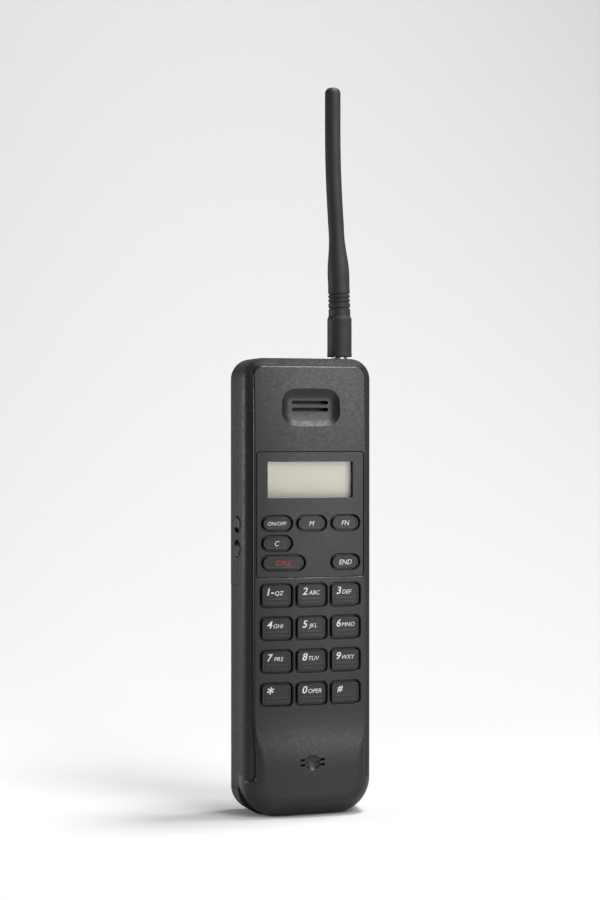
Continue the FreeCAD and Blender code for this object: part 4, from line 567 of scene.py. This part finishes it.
def legend(key, words, left, base, material):
    """Prints words on a key from left and base, in mm from its middle.

    A word is its text, letter height, the gap before it, both in mm, and its weight.
    """
    low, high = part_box("key_" + key)
    at = (low[0] + high[0]) / 2 + left * MM
    up = (low[2] + high[2]) / 2 + base * MM
    all_points = []
    all_faces = []
    shift = 0
    for text, height, gap, weight in words:
        points, faces = outline_mesh(text, height * MM, weight)
        points = points + [at + gap * MM, up]
        at = points[:, 0].max()
        all_faces += [tuple(i + shift for i in face) for face in faces]
        all_points.append(points)
        shift += len(points)
    plate, plate_faces = plate_from_outline(np.vstack(all_points), all_faces)
    return add_piece("legend_" + key, plate, plate_faces, material, "key_" + key + "_body")


legends = []
for key, letters in NUMBER_WORDS.items():
    numeral = ("1-" if key == "1" else key, NUMERAL_HEIGHT, 0.0, NUMERAL_WEIGHT)
    small = (letters, LETTER_HEIGHT, WORD_GAP, 0.0)
    legends.append(legend(key, [numeral, small], NUMBER_LEFT, NUMBER_BASE, white_ink))
legends.append(legend("star", [("*", STAR_HEIGHT, 0.0, NUMERAL_WEIGHT)], NUMBER_LEFT, -1.4, white_ink))
legends.append(legend("hash", [("#", HASH_HEIGHT, 0.0, NUMERAL_WEIGHT)], -3.6, 0.4, white_ink))
for key, (word, height) in FUNCTION_WORDS.items():
    half_width = width_of(outline_mesh(word, height)[0]) / 2
    paint = red_ink if key == "call" else white_ink
    legends.append(legend(key, [(word, height, 0.0, 0.0)], -half_width, -height / 2, paint))
print("legends:", len(legends))

# %% [markdown]
# ## Paper sweep
#
# The phone stands on seamless pale paper that runs up behind it, so no horizon shows. A floor and a wall
# could be two planes, but their joint would show. The sweep is one profile, flat and then bent upright,
# carried along X. In the picture the paper is nearly white and yet throws little light on the phone. So the
# Light Path node shows the camera a paler paper than the one that lights the plastic.

# %% Paper
PAPER_LEFT = -0.16
PAPER_RIGHT = 1.6
PAPER_FRONT = -1.2
PAPER_BACK = 0.9
PAPER_HEIGHT = 2.0
PAPER_BEND = 0.7
BEND_STEPS = 24
PAPER_SEEN = 0.7
PAPER_THROWN = 0.5


def sweep(name):
    """Paper as a profile carried along X: flat up to the bend, a quarter circle, then upright."""
    angles = np.linspace(0.0, np.pi / 2, BEND_STEPS)
    y = np.concatenate([[PAPER_FRONT], PAPER_BACK - PAPER_BEND + PAPER_BEND * np.sin(angles), [PAPER_BACK]])
    z = np.concatenate([[0.0], PAPER_BEND - PAPER_BEND * np.cos(angles), [PAPER_HEIGHT]])
    x = np.array([PAPER_LEFT, PAPER_RIGHT])
    grid = np.stack(np.broadcast_arrays(x[:, None], y[None, :], z[None, :]), axis=-1).reshape(-1, 3)
    rows = len(y)
    faces = [(i, i + rows, i + rows + 1, i + 1) for i in range(rows - 1)]
    mesh = bpy.data.meshes.new(name)
    mesh.from_pydata(grid.tolist(), [], faces)
    mesh.update()
    for polygon in mesh.polygons:
        polygon.use_smooth = True
    piece = bpy.data.objects.new(name, mesh)
    bpy.context.scene.collection.objects.link(piece)
    return piece


def paper_material():
    finish = Finish("paper", grey(PAPER_THROWN), 0.9, specular=0.1)
    light_path = finish.tree.nodes.new("ShaderNodeLightPath")
    finish.tint(light_path.outputs["Is Camera Ray"], grey(PAPER_SEEN))
    finish.bump(finish.noise(1.2), 0.01)
    return finish.material


paper = sweep("paper")
paper.data.materials.append(paper_material())
print("paper faces:", len(paper.data.polygons))

# %% [markdown]
# ## Lights
#
# A highlight on satin plastic is a blurred picture of the lamp, so the lamps are large and soft. The key
# light stands to the front right and fills the face. One high above, a little to the right, draws the
# bright rims of the plateau and the keys. One above the front right lights the lower half of the dish, and
# a weak one behind on the left draws the edge of the side. Each place is given as seen from the middle of
# the phone.

# %% Lights
MIDDLE = (0.0, 0.0, 0.12)
# Each light: degrees to the right of the front, degrees up, metres away, width, height, and power in watts.
LIGHTS = {
    "key": (24, 18, 1.3, 0.9, 0.9, 10.5),
    "top": (90, 74, 1.1, 0.3, 0.3, 12.0),
    "edge": (-118, 4, 0.45, 0.2, 0.12, 1.0),
    "high": (30, 52, 1.2, 0.5, 0.35, 6.0),
}
WORLD_STRENGTH = 0.08


def placed(azimuth, elevation, distance):
    """A place seen from the middle: degrees to the right of straight ahead, degrees up, and metres away."""
    turn = math.radians(azimuth)
    lift = math.radians(elevation)
    return (distance * math.cos(lift) * math.sin(turn), -distance * math.cos(lift) * math.cos(turn),
            MIDDLE[2] + distance * math.sin(lift))


def area_light(name, place, width, height, power):
    """A rectangular lamp that faces the middle of the phone."""
    data = bpy.data.lights.new(name, "AREA")
    data.shape = "RECTANGLE"
    data.size = width
    data.size_y = height
    data.energy = power
    light = bpy.data.objects.new(name, data)
    light.location = place
    direction = np.array(MIDDLE) - np.array(place)
    yaw = math.atan2(direction[0], direction[1])
    pitch = math.atan2(direction[2], math.hypot(direction[0], direction[1]))
    light.rotation_euler = (math.pi / 2 + pitch, 0.0, -yaw)
    bpy.context.scene.collection.objects.link(light)


for name, (azimuth, elevation, distance, width, height, power) in LIGHTS.items():
    area_light(name + "_light", placed(azimuth, elevation, distance), width, height, power)

world = bpy.data.worlds.new("world")
bpy.context.scene.world = world
world.use_nodes = True
background = world.node_tree.nodes["Background"]
background.inputs["Color"].default_value = grey(1.0)
background.inputs["Strength"].default_value = WORLD_STRENGTH
bpy.context.scene.view_settings.view_transform = "Standard"
print("lights:", len(LIGHTS))

# %% [markdown] ## The end
# The dressed phone has to stay as large as its solids.
